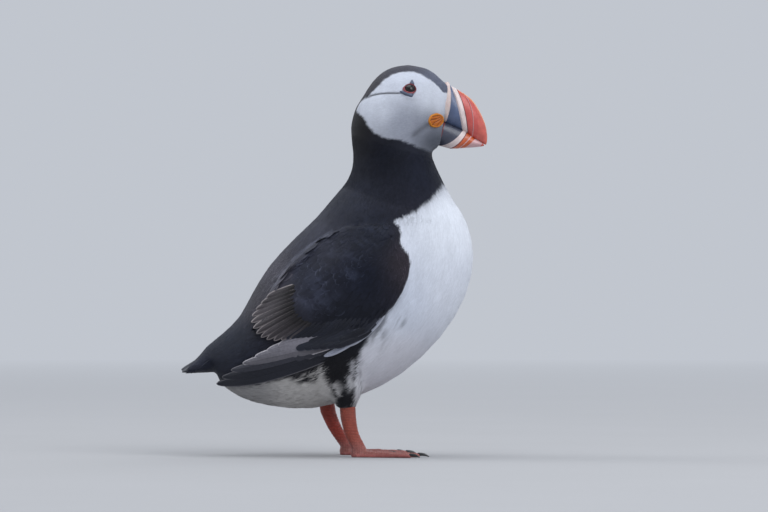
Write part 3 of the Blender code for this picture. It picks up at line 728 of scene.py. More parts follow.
class PaleTract(Enum):
    """Soft centres of the plumage's pale tints, some with painted shade in them: side-view place and colour.
    """

    BREAST = ((80.0, 145.0), (0.78, 0.81, 0.88))
    # LOW_BREAST and BELLY: painted shade, the white underparts darker and warmer low down
    LOW_BREAST = ((78.0, 100.0), (0.74, 0.77, 0.85))
    BELLY = ((40.0, 56.0), (0.66, 0.66, 0.72))
    SIDE = ((40.0, 95.0), (0.66, 0.70, 0.80))
    # VENT: greyer and browner, partly its own brownish tinge, partly painted shade
    VENT = ((-20.0, 40.0), (0.56, 0.54, 0.52))
    UNDERTAIL = ((-55.0, 42.0), (0.34, 0.33, 0.33))
    FACE = ((62.0, 222.0), (0.70, 0.73, 0.81))
    EAR = ((28.0, 214.0), (0.66, 0.69, 0.77))
    # CHEEK: the face's own grey, with painted shade where the cheek turns downwards
    CHEEK = ((43.0, 206.0), (0.36, 0.38, 0.45))
    BROW = ((44.0, 234.0), (0.64, 0.67, 0.76))
    # GAPE: painted shade under the rosette, over the face's own grey
    GAPE = ((57.0, 203.0), (0.25, 0.265, 0.32))
    # CHIN: partly grey feathers, partly painted shade under the bill
    CHIN = ((60.5, 196.5), (0.085, 0.095, 0.12))


@dataclass
class Markings:
    """Where the white face, black back and white underparts lie, and their tints."""

    face: Tuple[Place, ...] = (
        (78.0, 224.4), (67.8, 224.8), (65.6, 227.6), (62.2, 230.7), (58.0, 234.0), (53.1, 236.8),
        (48.0, 238.1), (43.0, 238.0), (36.6, 236.2), (31.6, 233.2), (27.8, 229.6), (22.1, 223.8),
        (16.4, 219.2), (12.0, 217.6), (14.4, 213.0), (18.3, 209.4), (20.8, 205.0), (25.2, 199.9),
        (30.9, 197.0), (37.9, 196.1), (43.0, 195.2), (48.0, 193.0), (53.1, 190.7), (58.2, 189.2),
        (63.0, 187.0), (76.0, 188.0))
    under: Tuple[Place, ...] = (
        (110.0, 171.5), (69.2, 171.0), (65.5, 164.8), (59.5, 158.7), (49.0, 151.0), (44.0, 148.4),
        (36.0, 145.4), (30.0, 132.0), (30.0, 110.0), (20.0, 92.0), (0.0, 78.0), (-18.0, 66.0),
        (-44.0, 55.0), (-66.0, 48.0), (-80.0, 45.0), (-82.0, 20.0), (110.0, 20.0))
    flank: Tuple[Place, ...] = (
        (26.0, 86.0), (21.6, 74.0), (17.4, 63.0), (14.4, 54.0), (12.6, 46.0), (13.4, 40.0), (14.5, 31.0),
        (16.0, 24.0), (0.0, 24.0), (1.5, 36.0), (-1.5, 43.0), (-5.0, 47.0), (-8.0, 55.0), (-11.0, 47.5),
        (-14.0, 46.5), (-20.0, 46.0), (-26.0, 48.6), (-33.0, 48.4), (-40.0, 46.6), (-50.0, 44.2),
        (-62.0, 43.4), (-76.0, 48.0), (-50.0, 72.0), (0.0, 92.0))
    flank_spots: Tuple[Place, ...] = ((29.5, 88.0), (27.6, 81.0))
    # path along which painted shade darkens the cheek's fold
    cheek_fold: Tuple[Place, ...] = ((58.5, 205.6), (54.0, 202.4), (49.5, 198.8))
    smudges: Tuple[Tuple[Place, Place, float], ...] = (
        ((41.5, 82.5), (3.4, 5.0), 0.45), ((27.5, 75.0), (5.5, 7.0), 0.6))
    worn_bend: Place = (46.0, 121.0)
    nape_strip: float = 6.0
    edge: float = 0.45
    depth: float = 0.80

    def pale(self, points: Array) -> Array:
        """How white the plumage is.

        Args:
            points: Places in metres.

        Returns:
            From 0, dark, to 1, white.
        """
        side = side_view(points)
        out = np.abs(points[:, 0]) / MM
        ragged = hashed_noise(points / MM, 1.3, 3) - 0.5
        face = smoothstep(-self.edge, self.edge, outline_distance(self.face, side) + ragged)
        rear = 1.0 - smoothstep(20.0, 28.0, side[:, 0])
        strip = 1.0 - smoothstep(self.nape_strip - 1.5, self.nape_strip + 1.5, out + ragged)
        face = face * (1.0 - rear * strip)
        ragged = (hashed_noise(points / MM, 2.2, 5) - 0.5) * 2.0
        under = smoothstep(-0.8, 0.8, outline_distance(self.under, side) + ragged)
        wing = (out > WING_OUT) & (outline_distance(WING_OUTLINE, side) > -0.4)
        under = under * (side[:, 1] < 180.0) * ~wing
        return np.clip(np.maximum(face, under * (1.0 - self.flank_patches(points))), 0.0, 1.0)

    def flank_patches(self, points: Array) -> Array:
        """Dark feathers under the wing's edge and over the thigh, from 0 to 1."""
        side = side_view(points)
        out = np.abs(points[:, 0]) / MM
        streaks = hashed_noise(columns(
            points[:, 0] / MM / 6.0, side[:, 0] / 1.7 + side[:, 1] / 12.0, side[:, 1] / 11.0), 1.0, 11)
        inside = outline_distance(self.flank, side)
        dark = smoothstep(-1.6, 1.6, inside + (streaks - 0.5) * 7.0)
        wisps = smoothstep(0.62, 0.80, streaks) * smoothstep(8.0, 3.0, inside)
        dark = dark * (1.0 - 0.75 * wisps)
        spots = along_path(self.flank_spots, side)[0]
        spots = (1.0 - smoothstep(0.5, 4.2, spots + (streaks - 0.5) * 8.0)) * 0.5
        return np.maximum(dark, spots) * smoothstep(8.0, 15.0, out)

    def blended(self, centres: Sequence[Enum], side: Array, reach: float) -> Array:
        """Colours blended from soft centres.

        Args:
            centres: Members that hold a place and a colour.
            side: Side-view places.
            reach: How far each centre's colour carries, in millimetres.

        Returns:
            One colour for each place.
        """
        total, weight = np.zeros((len(side), 3)), np.zeros((len(side), 1))
        for centre in centres:
            place, colour = centre.value
            distance = np.linalg.norm(side - np.array(place), axis=1)
            share = (1.0 / (distance ** 2 + reach ** 2) ** 1.6)[:, None]
            total += share * np.array(colour)
            weight += share
        return total / weight

    def dark_tints(self, points: Array, side: Array, out: Array) -> Array:
        """Tints of the dark plumage, with its soft clouds, specks and the shoulder feathers' pale edge."""
        soft = 0.86 + 0.28 * hashed_noise(points / MM, 7.0, 8)[:, None]
        speck = 0.8 + 0.4 * hashed_noise(points / MM, 1.1, 9)[:, None]
        grain = columns(points[:, 0] / MM / 4.0, (side[:, 0] + side[:, 1]) / 2.6,
                        (side[:, 0] - side[:, 1]) / 9.0)
        mottle = 0.6 * hashed_noise(grain, 1.0, 14) + 0.4 * hashed_noise(points / MM, 12.0, 16)
        mottle = smoothstep(0.45, 0.85, mottle)
        mottle = mottle * smoothstep(-2.0, 6.0, outline_distance(SCAPULARS, side)) * (out > BACK_OUT)
        tint = self.blended(list(Tract), side, 8.0) * soft * speck * self.depth
        tint = tint + mottle[:, None] * np.array((0.020, 0.023, 0.036))
        edge = along_path(SCAPULAR_EDGE, side)[0]
        broken = 0.4 + 0.6 * hashed_noise(points / MM, 3.0, 15)
        edge = np.exp(-(edge / 0.6) ** 2) * (out > BACK_OUT) * broken
        return tint + edge[:, None] * np.array((0.095, 0.10, 0.125))

    def pale_tints(self, points: Array, side: Array, out: Array) -> Array:
        """Tints of the pale plumage, with painted shade in the creases of the face and the smudges beside the
        wing.
        """
        tint = self.blended(list(PaleTract), side, 6.0)
        # painted shade: the plumage darker in the furrow behind the eye and along the cheek's fold
        crease, where, _ = along_path(EYE_CREASE, side)
        crease = np.exp(-(crease / 0.42) ** 2) * (1.0 - smoothstep(0.6, 1.0, where)) * (out > 8.0)
        fold = along_path(self.cheek_fold, side)[0]
        fold = np.exp(-(fold / 1.5) ** 2) * (out > FACE_OUT)
        tint = tint * (1.0 - 0.72 * crease - 0.35 * fold)[:, None]
        silk = columns(points[:, 0] / MM / 5.0, side[:, 0] / 3.2, side[:, 1] / 14.0)
        tint = tint * (0.93 + 0.10 * hashed_noise(silk, 1.0, 17))[:, None]
        streak = columns(points[:, 0] / MM / 5.0, (side[:, 0] - 0.5 * side[:, 1]) / 1.3, side[:, 1] / 7.0)
        streak = smoothstep(0.35, 0.75, hashed_noise(streak, 1.0, 18)) * (out > 15.0)
        smudge = sum(share * np.exp(-((side[:, 0] - f) / wide) ** 2 - ((side[:, 1] - z) / tall) ** 2)
                     for (f, z), (wide, tall), share in self.smudges)
        return tint * (1.0 - smudge * streak)[:, None]

    def tints(self, points: Array) -> Array:
        """The plumage's colour at each place, in metres."""
        side, out = side_view(points), np.abs(points[:, 0]) / MM
        pale = self.pale(points)[:, None]
        return self.dark_tints(points, side, out) * (1.0 - pale) + self.pale_tints(points, side, out) * pale

    def rims(self, points: Array, tints: Array) -> Array:
        """The tint of each feather's fringe.

        Args:
            points: The feathers' roots in metres.
            tints: The feathers' own tints.

        Returns:
            One colour for each root.
        """
        side = side_view(points)
        scapular = smoothstep(-1.0, 5.0, outline_distance(SCAPULARS, side))
        patchy = smoothstep(0.35, 0.75, hashed_noise(points / MM, 9.0, 19))
        worn = smoothstep(-16.0, -30.0, side[:, 0])
        worn = worn * smoothstep(-4.0, 14.0, side[:, 1] - 84.0 + 12.0 * patchy)
        worn = worn * smoothstep(6.0, 14.0, np.abs(points[:, 0]) / MM)
        bend = np.exp(-((side - np.array(self.worn_bend)) ** 2).sum(axis=1) / 120.0)
        grey, brown, mauve = (np.array(tone) for tone in (
            (0.055, 0.062, 0.090), (0.075, 0.066, 0.070), (0.08, 0.065, 0.08)))
        extra = (scapular * patchy)[:, None] * grey + worn[:, None] * brown + bend[:, None] * mauve
        dark = (1.0 - smoothstep(0.15, 0.3, tints.mean(axis=1)))[:, None]
        return tints * (1.0 + 0.35 * dark) + extra * dark


# ---------------------------------------------------------------- body surface

@dataclass
class Groove:
    """A furrow or a fold along a side-view path."""

    path: Tuple[Place, ...]
    width: float
    depth: float
    least_out: float = 0.0


@dataclass
class Mound:
    """A rounded swelling or hollow at a side-view place."""

    centre: Place
    radii: Tuple[float, float]
    height: float
    least_out: float = 4.0


@dataclass
class BodySurface:
    """The bird's outer form under the feather tips: one closed surface over all fleshy nodes."""

    flesh: Tuple[str, ...] = ("head", "neck", "trunk", "tail", "thigh_left", "thigh_right", "wing_left",
                               "wing_right")
    voxel: float = 1.1 * MM
    swell: float = 0.35 * MM
    smoothing: int = 26
    grooves: Tuple[Groove, ...] = (
        Groove(EYE_CREASE, 0.80, 1.1, 6.0),
        Groove(((41.0, 223.6), (44.6, 220.6), (48.5, 219.4), (52.5, 220.2)), 1.2, 0.5, 6.0),
        Groove(((12.0, 143.5), (22.0, 142.4), (37.0, 144.8)), 1.8, 1.5, 10.0),
        Groove(((58.5, 206.0), (54.0, 202.4), (49.5, 198.6), (46.0, 196.4)), 1.7, 0.9, 4.0),
    )
    mounds: Tuple[Mound, ...] = (
        Mound((33.0, 219.6), (14.0, 3.8), 0.9),
        Mound((38.0, 209.0), (15.0, 8.0), 0.8),
        Mound((33.0, 228.0), (9.0, 2.6), -0.35),
        Mound((62.0, 198.0), (5.0, 5.0), -0.7),
        Mound((47.0, 227.0), (6.0, 4.6), -0.45),
    )
    face_reach: float = 1.6 * MM
    face_narrowing: float = 0.88
    thigh_taper: float = 0.30
    forehead_drop: Tuple[Tuple[float, ...], Tuple[float, ...]] = (
        (58.0, 62.4, 65.5, 68.2, 71.0), (0.0, 0.7, 1.9, 3.0, 3.2))
    socket: Place = (47.2, 227.2)
    socket_reach: float = 6.6
    tree: Optional[BVHTree] = None
    mesh: Optional[Mesh] = None
    lies: Optional[Array] = None

    def build(self) -> None:
        """Joins the fleshy nodes into one remeshed, smoothed surface and keeps its search tree."""
        self.mesh = remeshed(self.flesh, self._shape, self.voxel)
        self._smooth(self.mesh)
        shell = bmesh.new()
        shell.from_mesh(self.mesh)
        self.tree = BVHTree.FromBMesh(shell)
        shell.free()
        sizes = read(self.mesh.polygons, "loop_total", 1, int).ravel()
        corners = read(self.mesh.loops, "vertex_index", 1, int).ravel()
        owner = np.repeat(np.arange(len(sizes)), sizes)
        even_lies = self.smoothed_normals(self.mesh)[corners]
        self.lies = unit(columns(*(np.bincount(owner, even_lies[:, k], len(sizes)) for k in range(3))))
        LOG.info("body surface: %d points", len(self.mesh.vertices))

    def _shape(self, name: str, part: bmesh.types.BMesh) -> None:
        """Swells a node, draws the face up to the bill and tapers the thighs."""
        for vert in part.verts:
            vert.co += vert.normal * self.swell
            if name == "head" and ahead_of_bill(side_view(np.array([vert.co])))[0] > -0.5:
                vert.co += Vector((0.0, -BILL_AHEAD[0], BILL_AHEAD[1])) * self.face_reach
                vert.co.x *= self.face_narrowing
        if name.startswith("thigh"):
            self._taper(part)

    def _taper(self, part: bmesh.types.BMesh) -> None:
        """Narrows a thigh towards its lower end."""
        low = min(vert.co.z for vert in part.verts)
        ends = [vert.co for vert in part.verts if vert.co.z < low + 1.0 * MM]
        middle = sum(ends, Vector()) / len(ends)
        for vert in part.verts:
            share = self.thigh_taper * (1.0 - min(1.0, (vert.co.z - low) / (11.0 * MM)))
            vert.co.x += (middle.x - vert.co.x) * share
            vert.co.y += (middle.y - 1.5 * MM - vert.co.y) * share

    def smoothed_normals(self, mesh: Mesh, passes: int = 16) -> Array:
        """Each point's normal, averaged over the few millimetres around it."""
        normals, near = read(mesh.vertices, "normal", 3), Neighbours(mesh)
        for _ in range(passes):
            normals = unit(normals + near.total(normals))
        return unit(self._across_sockets(read(mesh.vertices, "co", 3), normals, normals, 1.6))

    def in_socket(self, points: Array) -> Array:
        """Whether places lie over the hollows in which the eyes sit."""
        distance = np.linalg.norm(side_view(points) - np.array(self.socket), axis=1)
        return (distance < self.socket_reach + 1.0) & (np.abs(points[:, 0]) > 8.0 * MM)

    def _across_sockets(self, points: Array, normals: Array, values: Array, margin: float) -> Array:
        """Carries values from round each eye's hollow smoothly across it.

        Args:
            points: Places in metres.
            normals: Outward normals there.
            values: What is carried across, one row for each place.
            margin: Width of the change from old values to new ones, in millimetres.

        Returns:
            The values with the hollows bridged.
        """
        side = side_view(points)
        values = values.copy()
        distance = np.linalg.norm(side - np.array(self.socket), axis=1)
        for sign in SIDES.values():
            here = (points[:, 0] * sign > 8.0 * MM) & (distance < self.socket_reach + 5.0)
            rim = here & (distance > self.socket_reach + 0.6) & (normals[:, 0] * sign > 0.3)
            inner = here & (distance < self.socket_reach + margin)

            def terms(chosen: Array) -> Array:
                """Powers of the side-view offset, up to the square."""
                u, v = (side[chosen] - np.array(self.socket)).T / 10.0
                return columns(np.ones(len(u)), u, v, u * u, u * v, v * v)

            curve = np.linalg.lstsq(terms(rim), values[rim], rcond=None)[0]
            share = 1.0 - smoothstep(self.socket_reach - 0.6, self.socket_reach + margin, distance[inner])
            values[inner] += (terms(inner) @ curve - values[inner]) * share[:, None]
        return values

    def _smooth(self, mesh: Mesh) -> None:
        """Evens out the voxel steps, pulls the surface back by the swell and rounds the forehead."""
        near = Neighbours(mesh)
        points = read(mesh.vertices, "co", 3)
        for step in range(2 * self.smoothing):
            points = near.evened(points, 0.62 if step % 2 == 0 else -0.60)
        mesh.vertices.foreach_set("co", points.ravel())
        mesh.update()
        normals = read(mesh.vertices, "normal", 3)
        points = points - normals * self.swell
        crown = smoothstep(231.0, 238.0, points[:, 2] / MM)[:, None] * 0.5
        for _ in range(14):
            points = near.evened(points, crown)
        drop = np.interp(-points[:, 1] / MM, *self.forehead_drop)
        points[:, 2] -= drop * smoothstep(220.0, 233.0, points[:, 2] / MM) * MM
        points[:, :1] = self._across_sockets(points, normals, points[:, :1], 0.6)
        mesh.vertices.foreach_set("co", points.ravel())
        mesh.update()

    def relief(self, points: Array) -> Array:
        """Small folds and swellings on the form.

        Args:
            points: Places in metres.

        Returns:
            How far each place moves out, in metres.
        """
        side = side_view(points)
        out = np.abs(points[:, 0]) / MM
        total = np.zeros(len(points))
        for groove in self.grooves:
            distance, where, _ = along_path(groove.path, side)
            fade = smoothstep(0.0, 0.12, where) * (1.0 - smoothstep(0.75, 1.0, where))
            total -= groove.depth * np.exp(-(distance / groove.width) ** 2) * fade * smoothstep(
                groove.least_out, groove.least_out + 3.0, out)
        for mound in self.mounds:
            reach = ((side - np.array(mound.centre)) / np.array(mound.radii)) ** 2
            total += mound.height * np.exp(-reach.sum(axis=1)) * smoothstep(
                mound.least_out, mound.least_out + 6.0, out)
        return total * MM

    def nearest(self, points: Array) -> Tuple[Array, Array]:
        """The nearest surface points and their outward normals, without the relief."""
        places, normals = np.empty_like(points), np.empty_like(points)
        find = self.tree.find_nearest
        for index, point in enumerate(points.tolist()):
            place, _, face, _ = find(point)
            places[index] = place
            normals[index] = self.lies[face]
        return places, normals


@dataclass
class Spine:
    """A line through the middle of the bird from the bill to the tail, which the plumage follows."""

    knots: Tuple[Place, ...] = ((72.0, 212.0), (58.0, 214.0), (44.0, 213.0), (37.0, 203.0), (36.5, 188.0),
                                (38.0, 170.0), (37.0, 150.0), (28.0, 125.0), (12.0, 100.0), (-10.0, 80.0),
                                (-35.0, 66.0), (-60.0, 58.5), (-92.0, 53.0))
    steps: int = 160
    blend: float = 14.0
    face_middle: Tuple[float, float, float] = (0.0, -74.0, 214.0)

    def __post_init__(self) -> None:
        """Works out points and directions along the line."""
        t = np.linspace(0.0, len(self.knots) - 1.0, self.steps)
        self.line = curve_through(np.array(self.knots), t)
        self.heading = unit(np.gradient(self.line, axis=0))

    def share(self, points: Array) -> Tuple[Array, Array]:
        """Where points lie along and round the line.

        Args:
            points: Places in metres.

        Returns:
            How far along, from 0 at the bill to 1 at the tail, and the angle round the line in turns.
        """
        side = side_view(points)
        index = np.empty(len(side), int)
        for start in range(0, len(side), 4000):
            chunk = side[start:start + 4000]
            index[start:start + 4000] = np.argmin(
                ((chunk[:, None, :] - self.line[None]) ** 2).sum(axis=2), axis=1)
        offset = side - self.line[index]
        across = offset[:, 0] * self.heading[index, 1] - offset[:, 1] * self.heading[index, 0]
        turn = np.arctan2(points[:, 0] / MM, across) / (2.0 * math.pi) + 0.5
        return index / (self.steps - 1.0), turn

    def flow(self, points: Array) -> Array:
        """The direction in which feathers lie, before it is laid on the surface.

        Args:
            points: Places in metres.

        Returns:
            One direction for each place, in the bird's frame.
        """
        side = side_view(points)
        apart = ((side[:, None, :] - self.line[None, ::4]) ** 2).sum(axis=2)
        weight = np.exp(-apart / (2.0 * self.blend ** 2)) + 1e-12
        heading = (weight[:, :, None] * self.heading[None, ::4]).sum(axis=1) / weight.sum(axis=1)[:, None]
        flow = columns(np.zeros(len(points)), -heading[:, 0], heading[:, 1])
        spread = unit(points / MM - np.array(self.face_middle))
        head = smoothstep(178.0, 200.0, side[:, 1])[:, None]
        head_flow = unit(spread + np.array([0.0, 0.35, -0.12]))
        flow = flow * (1.0 - head) + head_flow * head
        return unit(flow)


def node_tree(*names: str) -> BVHTree:
    """The search tree of some of the frame's nodes."""
    shell = bmesh.new()
    for name in names:
        shell.from_mesh(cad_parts[name].data)
    tree = BVHTree.FromBMesh(shell)
    shell.free()
    return tree


class WingChart:
    """The folded wing's outer face as a map over the side view."""

    def __init__(self, tree: BVHTree, outline: Sequence[Place], pitch: float = 2.0, passes: int = 3) -> None:
        """Reads how far out the surface reaches.

        Args:
            tree: The surface.
            outline: Side-view places that the map has to cover.
            pitch: Map spacing in millimetres.
            passes: Smoothing passes.
        """
        side = np.array(outline)
        self.pitch = pitch
        self.low = side.min(0) - 12.0
        self.shape = tuple(((side.max(0) + 12.0 - self.low) / pitch).astype(int) + 1)
        known = np.zeros(self.shape)
        out = np.zeros(self.shape)
        for i in range(self.shape[0]):
            for j in range(self.shape[1]):
                f, z = self.low + np.array([i, j]) * pitch
                hit = tree.ray_cast(Vector((-0.2, -f * MM, z * MM)), Vector((1.0, 0.0, 0.0)), 0.3)[0]
                if hit is not None:
                    known[i, j] = 1.0
                    out[i, j] = -hit.x / MM
        self.known = known
        filled, have = out * known, known.copy()
        while (have == 0.0).any():
            total, share = self._around(filled), self._around(have)
            fresh = (have == 0.0) & (share > 0.0)
            filled[fresh] = total[fresh] / share[fresh]
            have[fresh] = 1.0
        for _ in range(passes):
            filled = (self._around(filled) / self._around(np.ones_like(filled)) + filled) / 2.0
        self.out = filled

    @staticmethod
    def _around(values: Array) -> Array:
        """Sum of the eight neighbours, with nothing outside the map."""
        padded = np.pad(values, 1)
        rows, columns = values.shape
        total = -values.copy()
        for i in range(3):
            for j in range(3):
                total += padded[i:i + rows, j:j + columns]
        return total

    def at(self, side: Array) -> Array:
        """How far out the wing's face lies at side-view places, in millimetres."""
        cell = (side - self.low) / self.pitch
        cell = np.clip(cell, 0.0, np.array(self.shape) - 1.001)
        i, j = cell[:, 0].astype(int), cell[:, 1].astype(int)
        u, v = cell[:, 0] - i, cell[:, 1] - j
        grid = self.out
        return (grid[i, j] * (1 - u) * (1 - v) + grid[i + 1, j] * u * (1 - v)
                + grid[i, j + 1] * (1 - u) * v + grid[i + 1, j + 1] * u * v)


# ---------------------------------------------------------------- coat

class FeatherForm(Enum):
    """Outlines of small feathers: places along the feather and widths there, as shares."""

    FUZZ = ((0.0, 0.52), (0.52, 1.0))
    SOFT = ((0.0, 0.42, 0.82), (0.48, 1.0, 0.72))
    WISP = ((0.0, 0.30, 0.65), (0.55, 1.0, 0.66))
    ROUND = ((0.0, 0.30, 0.58, 0.80, 0.94), (0.40, 0.85, 1.0, 0.86, 0.50))


@dataclass
class Tuft:
    """How one kind of feather grows in one part of the coat."""

    form: FeatherForm
    length: float
    width: float
    spacing: float
    depth: float
    rise: float = 0.4
    camber: float = 0.16
    ruffle: float = 0.12
    roundness: float = 0.2
    raised: float = 0.0


@dataclass
class CoatPart:
    """One piece of the coat: where it grows, and how."""

    name: str
    slot: str
    finish: str
    where: Area
    tuft: Tuft
    scale: Callable[[Array], Array]
    seed: int


@dataclass
class Coat:
    """All the small feathers over the skin."""

    body: BodySurface
    spine: Spine
    markings: Markings

    def on_wing(self, points: Array) -> Array:
        """How far inside the wing's outline each place lies, in millimetres, negative off it."""
        inside = outline_distance(WING_OUTLINE, side_view(points))
        out = np.abs(points[:, 0]) / MM
        return np.where(out > WING_OUT, inside, -np.maximum(1.0, np.abs(inside)))

    def wing_flow(self, points: Array) -> Array:
        """The lie of the feathers on the folded wing, fanning from the bend to the tips."""
        side = side_view(points)
        start, end = np.array((46.0, 128.0)), np.array((-50.0, 80.0))
        along = np.clip(((side - start) @ (end - start)) / ((end - start) @ (end - start)), 0.0, 1.0)
        top, low = (curve_through(np.array(row)[:, None], along * 5.0)[:, 0] for row in (
            (143.0, 143.4, 133.4, 116.0, 95.0, 86.0), (120.0, 100.0, 84.0, 76.0, 74.0, 74.0)))
        height = np.clip((top - side[:, 1]) / np.maximum(top - low, 4.0), 0.0, 1.0)
        upper = 31.0 + 8.0 * along
        lower = 78.0 - 50.0 * smoothstep(0.0, 0.9, along)
        angle = np.radians(upper + (lower - upper) * height ** 1.3)
        lie = columns(-np.cos(angle), -np.sin(angle))
        for path, reach in ((WING_FRONT, 4.5), (SCAPULAR_EDGE, 5.5)):
            distance, _, heading = along_path(path, side)
            share = np.exp(-(distance / reach) ** 2)[:, None]
            lie = unit(lie * (1.0 - share) + heading * share)
        return columns(np.zeros(len(side)), -lie[:, 0], lie[:, 1])

    def direction(self, points: Array, normals: Array) -> Array:
        """The lie of the coat on the surface.

        Args:
            points: Places in metres.
            normals: Outward normals there.

        Returns:
            Directions along the surface.
        """
        share = smoothstep(-1.0, 3.0, self.on_wing(points))[:, None]
        flow = self.spine.flow(points) * (1.0 - share) + self.wing_flow(points) * share
        flow = flow - normals * (flow * normals).sum(axis=1)[:, None]
        return unit(flow)

    def roots(self, part: CoatPart) -> Tuple[Array, Array, Array]:
        """Chooses evenly spread roots for a part of the coat.

        Args:
            part: The part.

        Returns:
            Places, normals and each root's size, as a share of the part's full size.
        """
        rng = np.random.default_rng(part.seed)
        mesh = self.body.mesh
        points, even_lies = read(mesh.vertices, "co", 3), self.body.smoothed_normals(mesh)
        level = (read(mesh.vertices, "normal", 3) * even_lies).sum(axis=1) > 0.62
        level |= self.body.in_socket(points)
        corners = triangles(mesh)
        corners = corners[(part.where(points, even_lies) & level)[corners].any(axis=1)]
        a, b, c = (points[corners[:, k]] for k in range(3))
        area = np.linalg.norm(np.cross(b - a, c - a), axis=1) / 2.0
        spacing = part.tuft.spacing * MM * 1.0
        smallest = part.scale(points[corners[:, 0]])
        weight = area / smallest ** 2
        count = int(5.0 * weight.sum() / (spacing ** 2)) + 10
        pick = rng.choice(len(corners), count, p=weight / weight.sum())
        u, v = rng.random(count), rng.random(count)
        flip = u + v > 1.0
        u[flip], v[flip] = 1.0 - u[flip], 1.0 - v[flip]
        chosen = corners[pick]
        mixing = columns(1.0 - u - v, u, v)[:, :, None]
        places = (points[chosen] * mixing).sum(axis=1)
        lies = unit((even_lies[chosen] * mixing).sum(axis=1))
        inside = part.where(places, lies)
        places, lies = places[inside], lies[inside]
        sizes = part.scale(places)
        chosen = self.spaced(places, spacing * sizes * 0.80)
        return places[chosen], lies[chosen], sizes[chosen]

    @staticmethod
    def spaced(places: Array, radii: Array) -> Array:
        """Picks places in their order, leaving out any that is too near one picked before.

        Args:
            places: The places.
            radii: How far each has to be from those before it.

        Returns:
            The numbers of the places that are picked.
        """
        cell = float(radii.max())
        grid: Dict[Tuple[int, int, int], List[int]] = {}
        accepted: List[int] = []
        keys = np.floor(places / cell).astype(int).tolist()
        spots, reach = places.tolist(), (radii ** 2).tolist()
        around = [(i, j, k) for i in (-1, 0, 1) for j in (-1, 0, 1) for k in (-1, 0, 1)]
        for index, ((a, b, c), (x, y, z)) in enumerate(zip(keys, spots)):
            limit = reach[index]
            free = True
            for i, j, k in around:
                for other in grid.get((a + i, b + j, c + k), ()):
                    ox, oy, oz = spots[other]
                    if (x - ox) ** 2 + (y - oy) ** 2 + (z - oz) ** 2 < limit:
                        free = False
                        break
                if not free:
                    break
            if free:
                grid.setdefault((a, b, c), []).append(index)
                accepted.append(index)
        return np.array(accepted)

    def grow(self, part: CoatPart, material: Material) -> None:
        """Grows one part of the coat.

        Args:
            part: The part.
            material: Its finish.
        """
        rng = np.random.default_rng(part.seed + 1000)
        places, normals, sizes = self.roots(part)
        count = len(places)
        tuft = part.tuft
        stops, widths = (np.array(row) for row in tuft.form.value)
        heading = self.direction(places, normals)
        sideways = np.cross(normals, heading)
        sway = rng.normal(0.0, tuft.ruffle, count)[:, None]
        heading = unit(heading + sideways * sway)
        length = tuft.length * MM * sizes * rng.uniform(0.85, 1.15, count)
        width = tuft.width * MM * sizes * rng.uniform(0.85, 1.15, count) / 2.0
        depth = tuft.depth * MM * np.minimum(1.0, sizes * 1.1)
        tip_lift = rng.uniform(0.8, 1.2, count)
        centres, lifts, flats = [], [], []
        here, lie, direction, before = places.copy(), normals.copy(), heading.copy(), 0.0
        for mark in [*stops, 1.0]:
            if mark > before:
                moved = here + direction * ((mark - before) * length)[:, None]
                here, lie = self.body.nearest(moved)
                direction = unit(direction - lie * (direction * lie).sum(axis=1)[:, None])
                before = mark
            level = depth * tuft.rise * (mark * tip_lift - 1.0) + tuft.raised * MM * mark
            centres.append(here + lie * (level + self.body.relief(here))[:, None])
            lifts.append(lie.copy())
            flats.append(np.cross(lie, direction))
        thick = np.maximum(width * 0.10, 0.04 * MM)
        rows, lay, shading = [], [], []
        chance = rng.random(count)
        for k, mark in enumerate(stops):
            w = (width * widths[k])[:, None]
            drop = (width * widths[k] * tuft.camber)[:, None]
            rows.append(centres[k] + flats[k] * w - lifts[k] * drop)
            rows.append(centres[k] + lifts[k] * thick[:, None])
            rows.append(centres[k] - flats[k] * w - lifts[k] * drop)
            for across in (1.0, 0.0, -1.0):
                lay.append(columns(np.full(count, mark), np.full(count, across * widths[k]), chance))
                shading.append(unit(lifts[k] + flats[k] * across * tuft.roundness))
        rows.append(centres[-1])
        lay.append(columns(np.ones(count), np.zeros(count), chance))
        shading.append(lifts[-1])
        points, lays = columns(*rows), columns(*lay)
        per, rings = points.shape[1], len(stops)
        one = [(0, 2, 1)]
        for k in range(rings - 1):
            l0, m0, r0, l1, m1, r1 = (3 * k + n for n in range(6))
            one += [(l0, m0, m1), (l0, m1, l1), (m0, r0, r1), (m0, r1, m1), (l0, l1, r1), (l0, r1, r0)]
        l0, m0, r0, tip = 3 * rings - 3, 3 * rings - 2, 3 * rings - 1, 3 * rings
        one += [(l0, m0, tip), (m0, r0, tip), (r0, l0, tip)]
        faces = (np.arange(count)[:, None, None] * per + np.array(one)[None]).reshape(-1, 3)
        root_uv = columns(*self.spine.share(places))
        low, high = root_uv.min(axis=0), root_uv.max(axis=0)
        root_uv = 0.005 + 0.985 * (root_uv - low) / np.maximum(high - low, 0.01)
        bake = root_uv[:, None, :] + lays[:, :, :2] * np.array([PATCH, PATCH / 2.0])
        flat_points = points.reshape(-1, 3)
        tints = self.markings.tints(flat_points)
        rims = np.repeat(self.markings.rims(places, tints.reshape(count, per, 3)[:, -1]), per, axis=0)
        brim = np.tile(np.array([1.0, 0.0, 1.0] * (rings - 1) + [1.0, 0.35, 1.0, 1.0]), count)
        rims = np.hstack([rims, brim[:, None]])
        settle(MeshParts(part.name, flat_points, faces, {"tint": tints, "rim": rims},
                         {"lay": lays.reshape(-1, 3)}, bake.reshape(-1, 2), 60.0,
                         columns(*shading).reshape(-1, 3)), material)


def even(points: Array) -> Array:
    """The same size everywhere."""
    return np.ones(len(points))


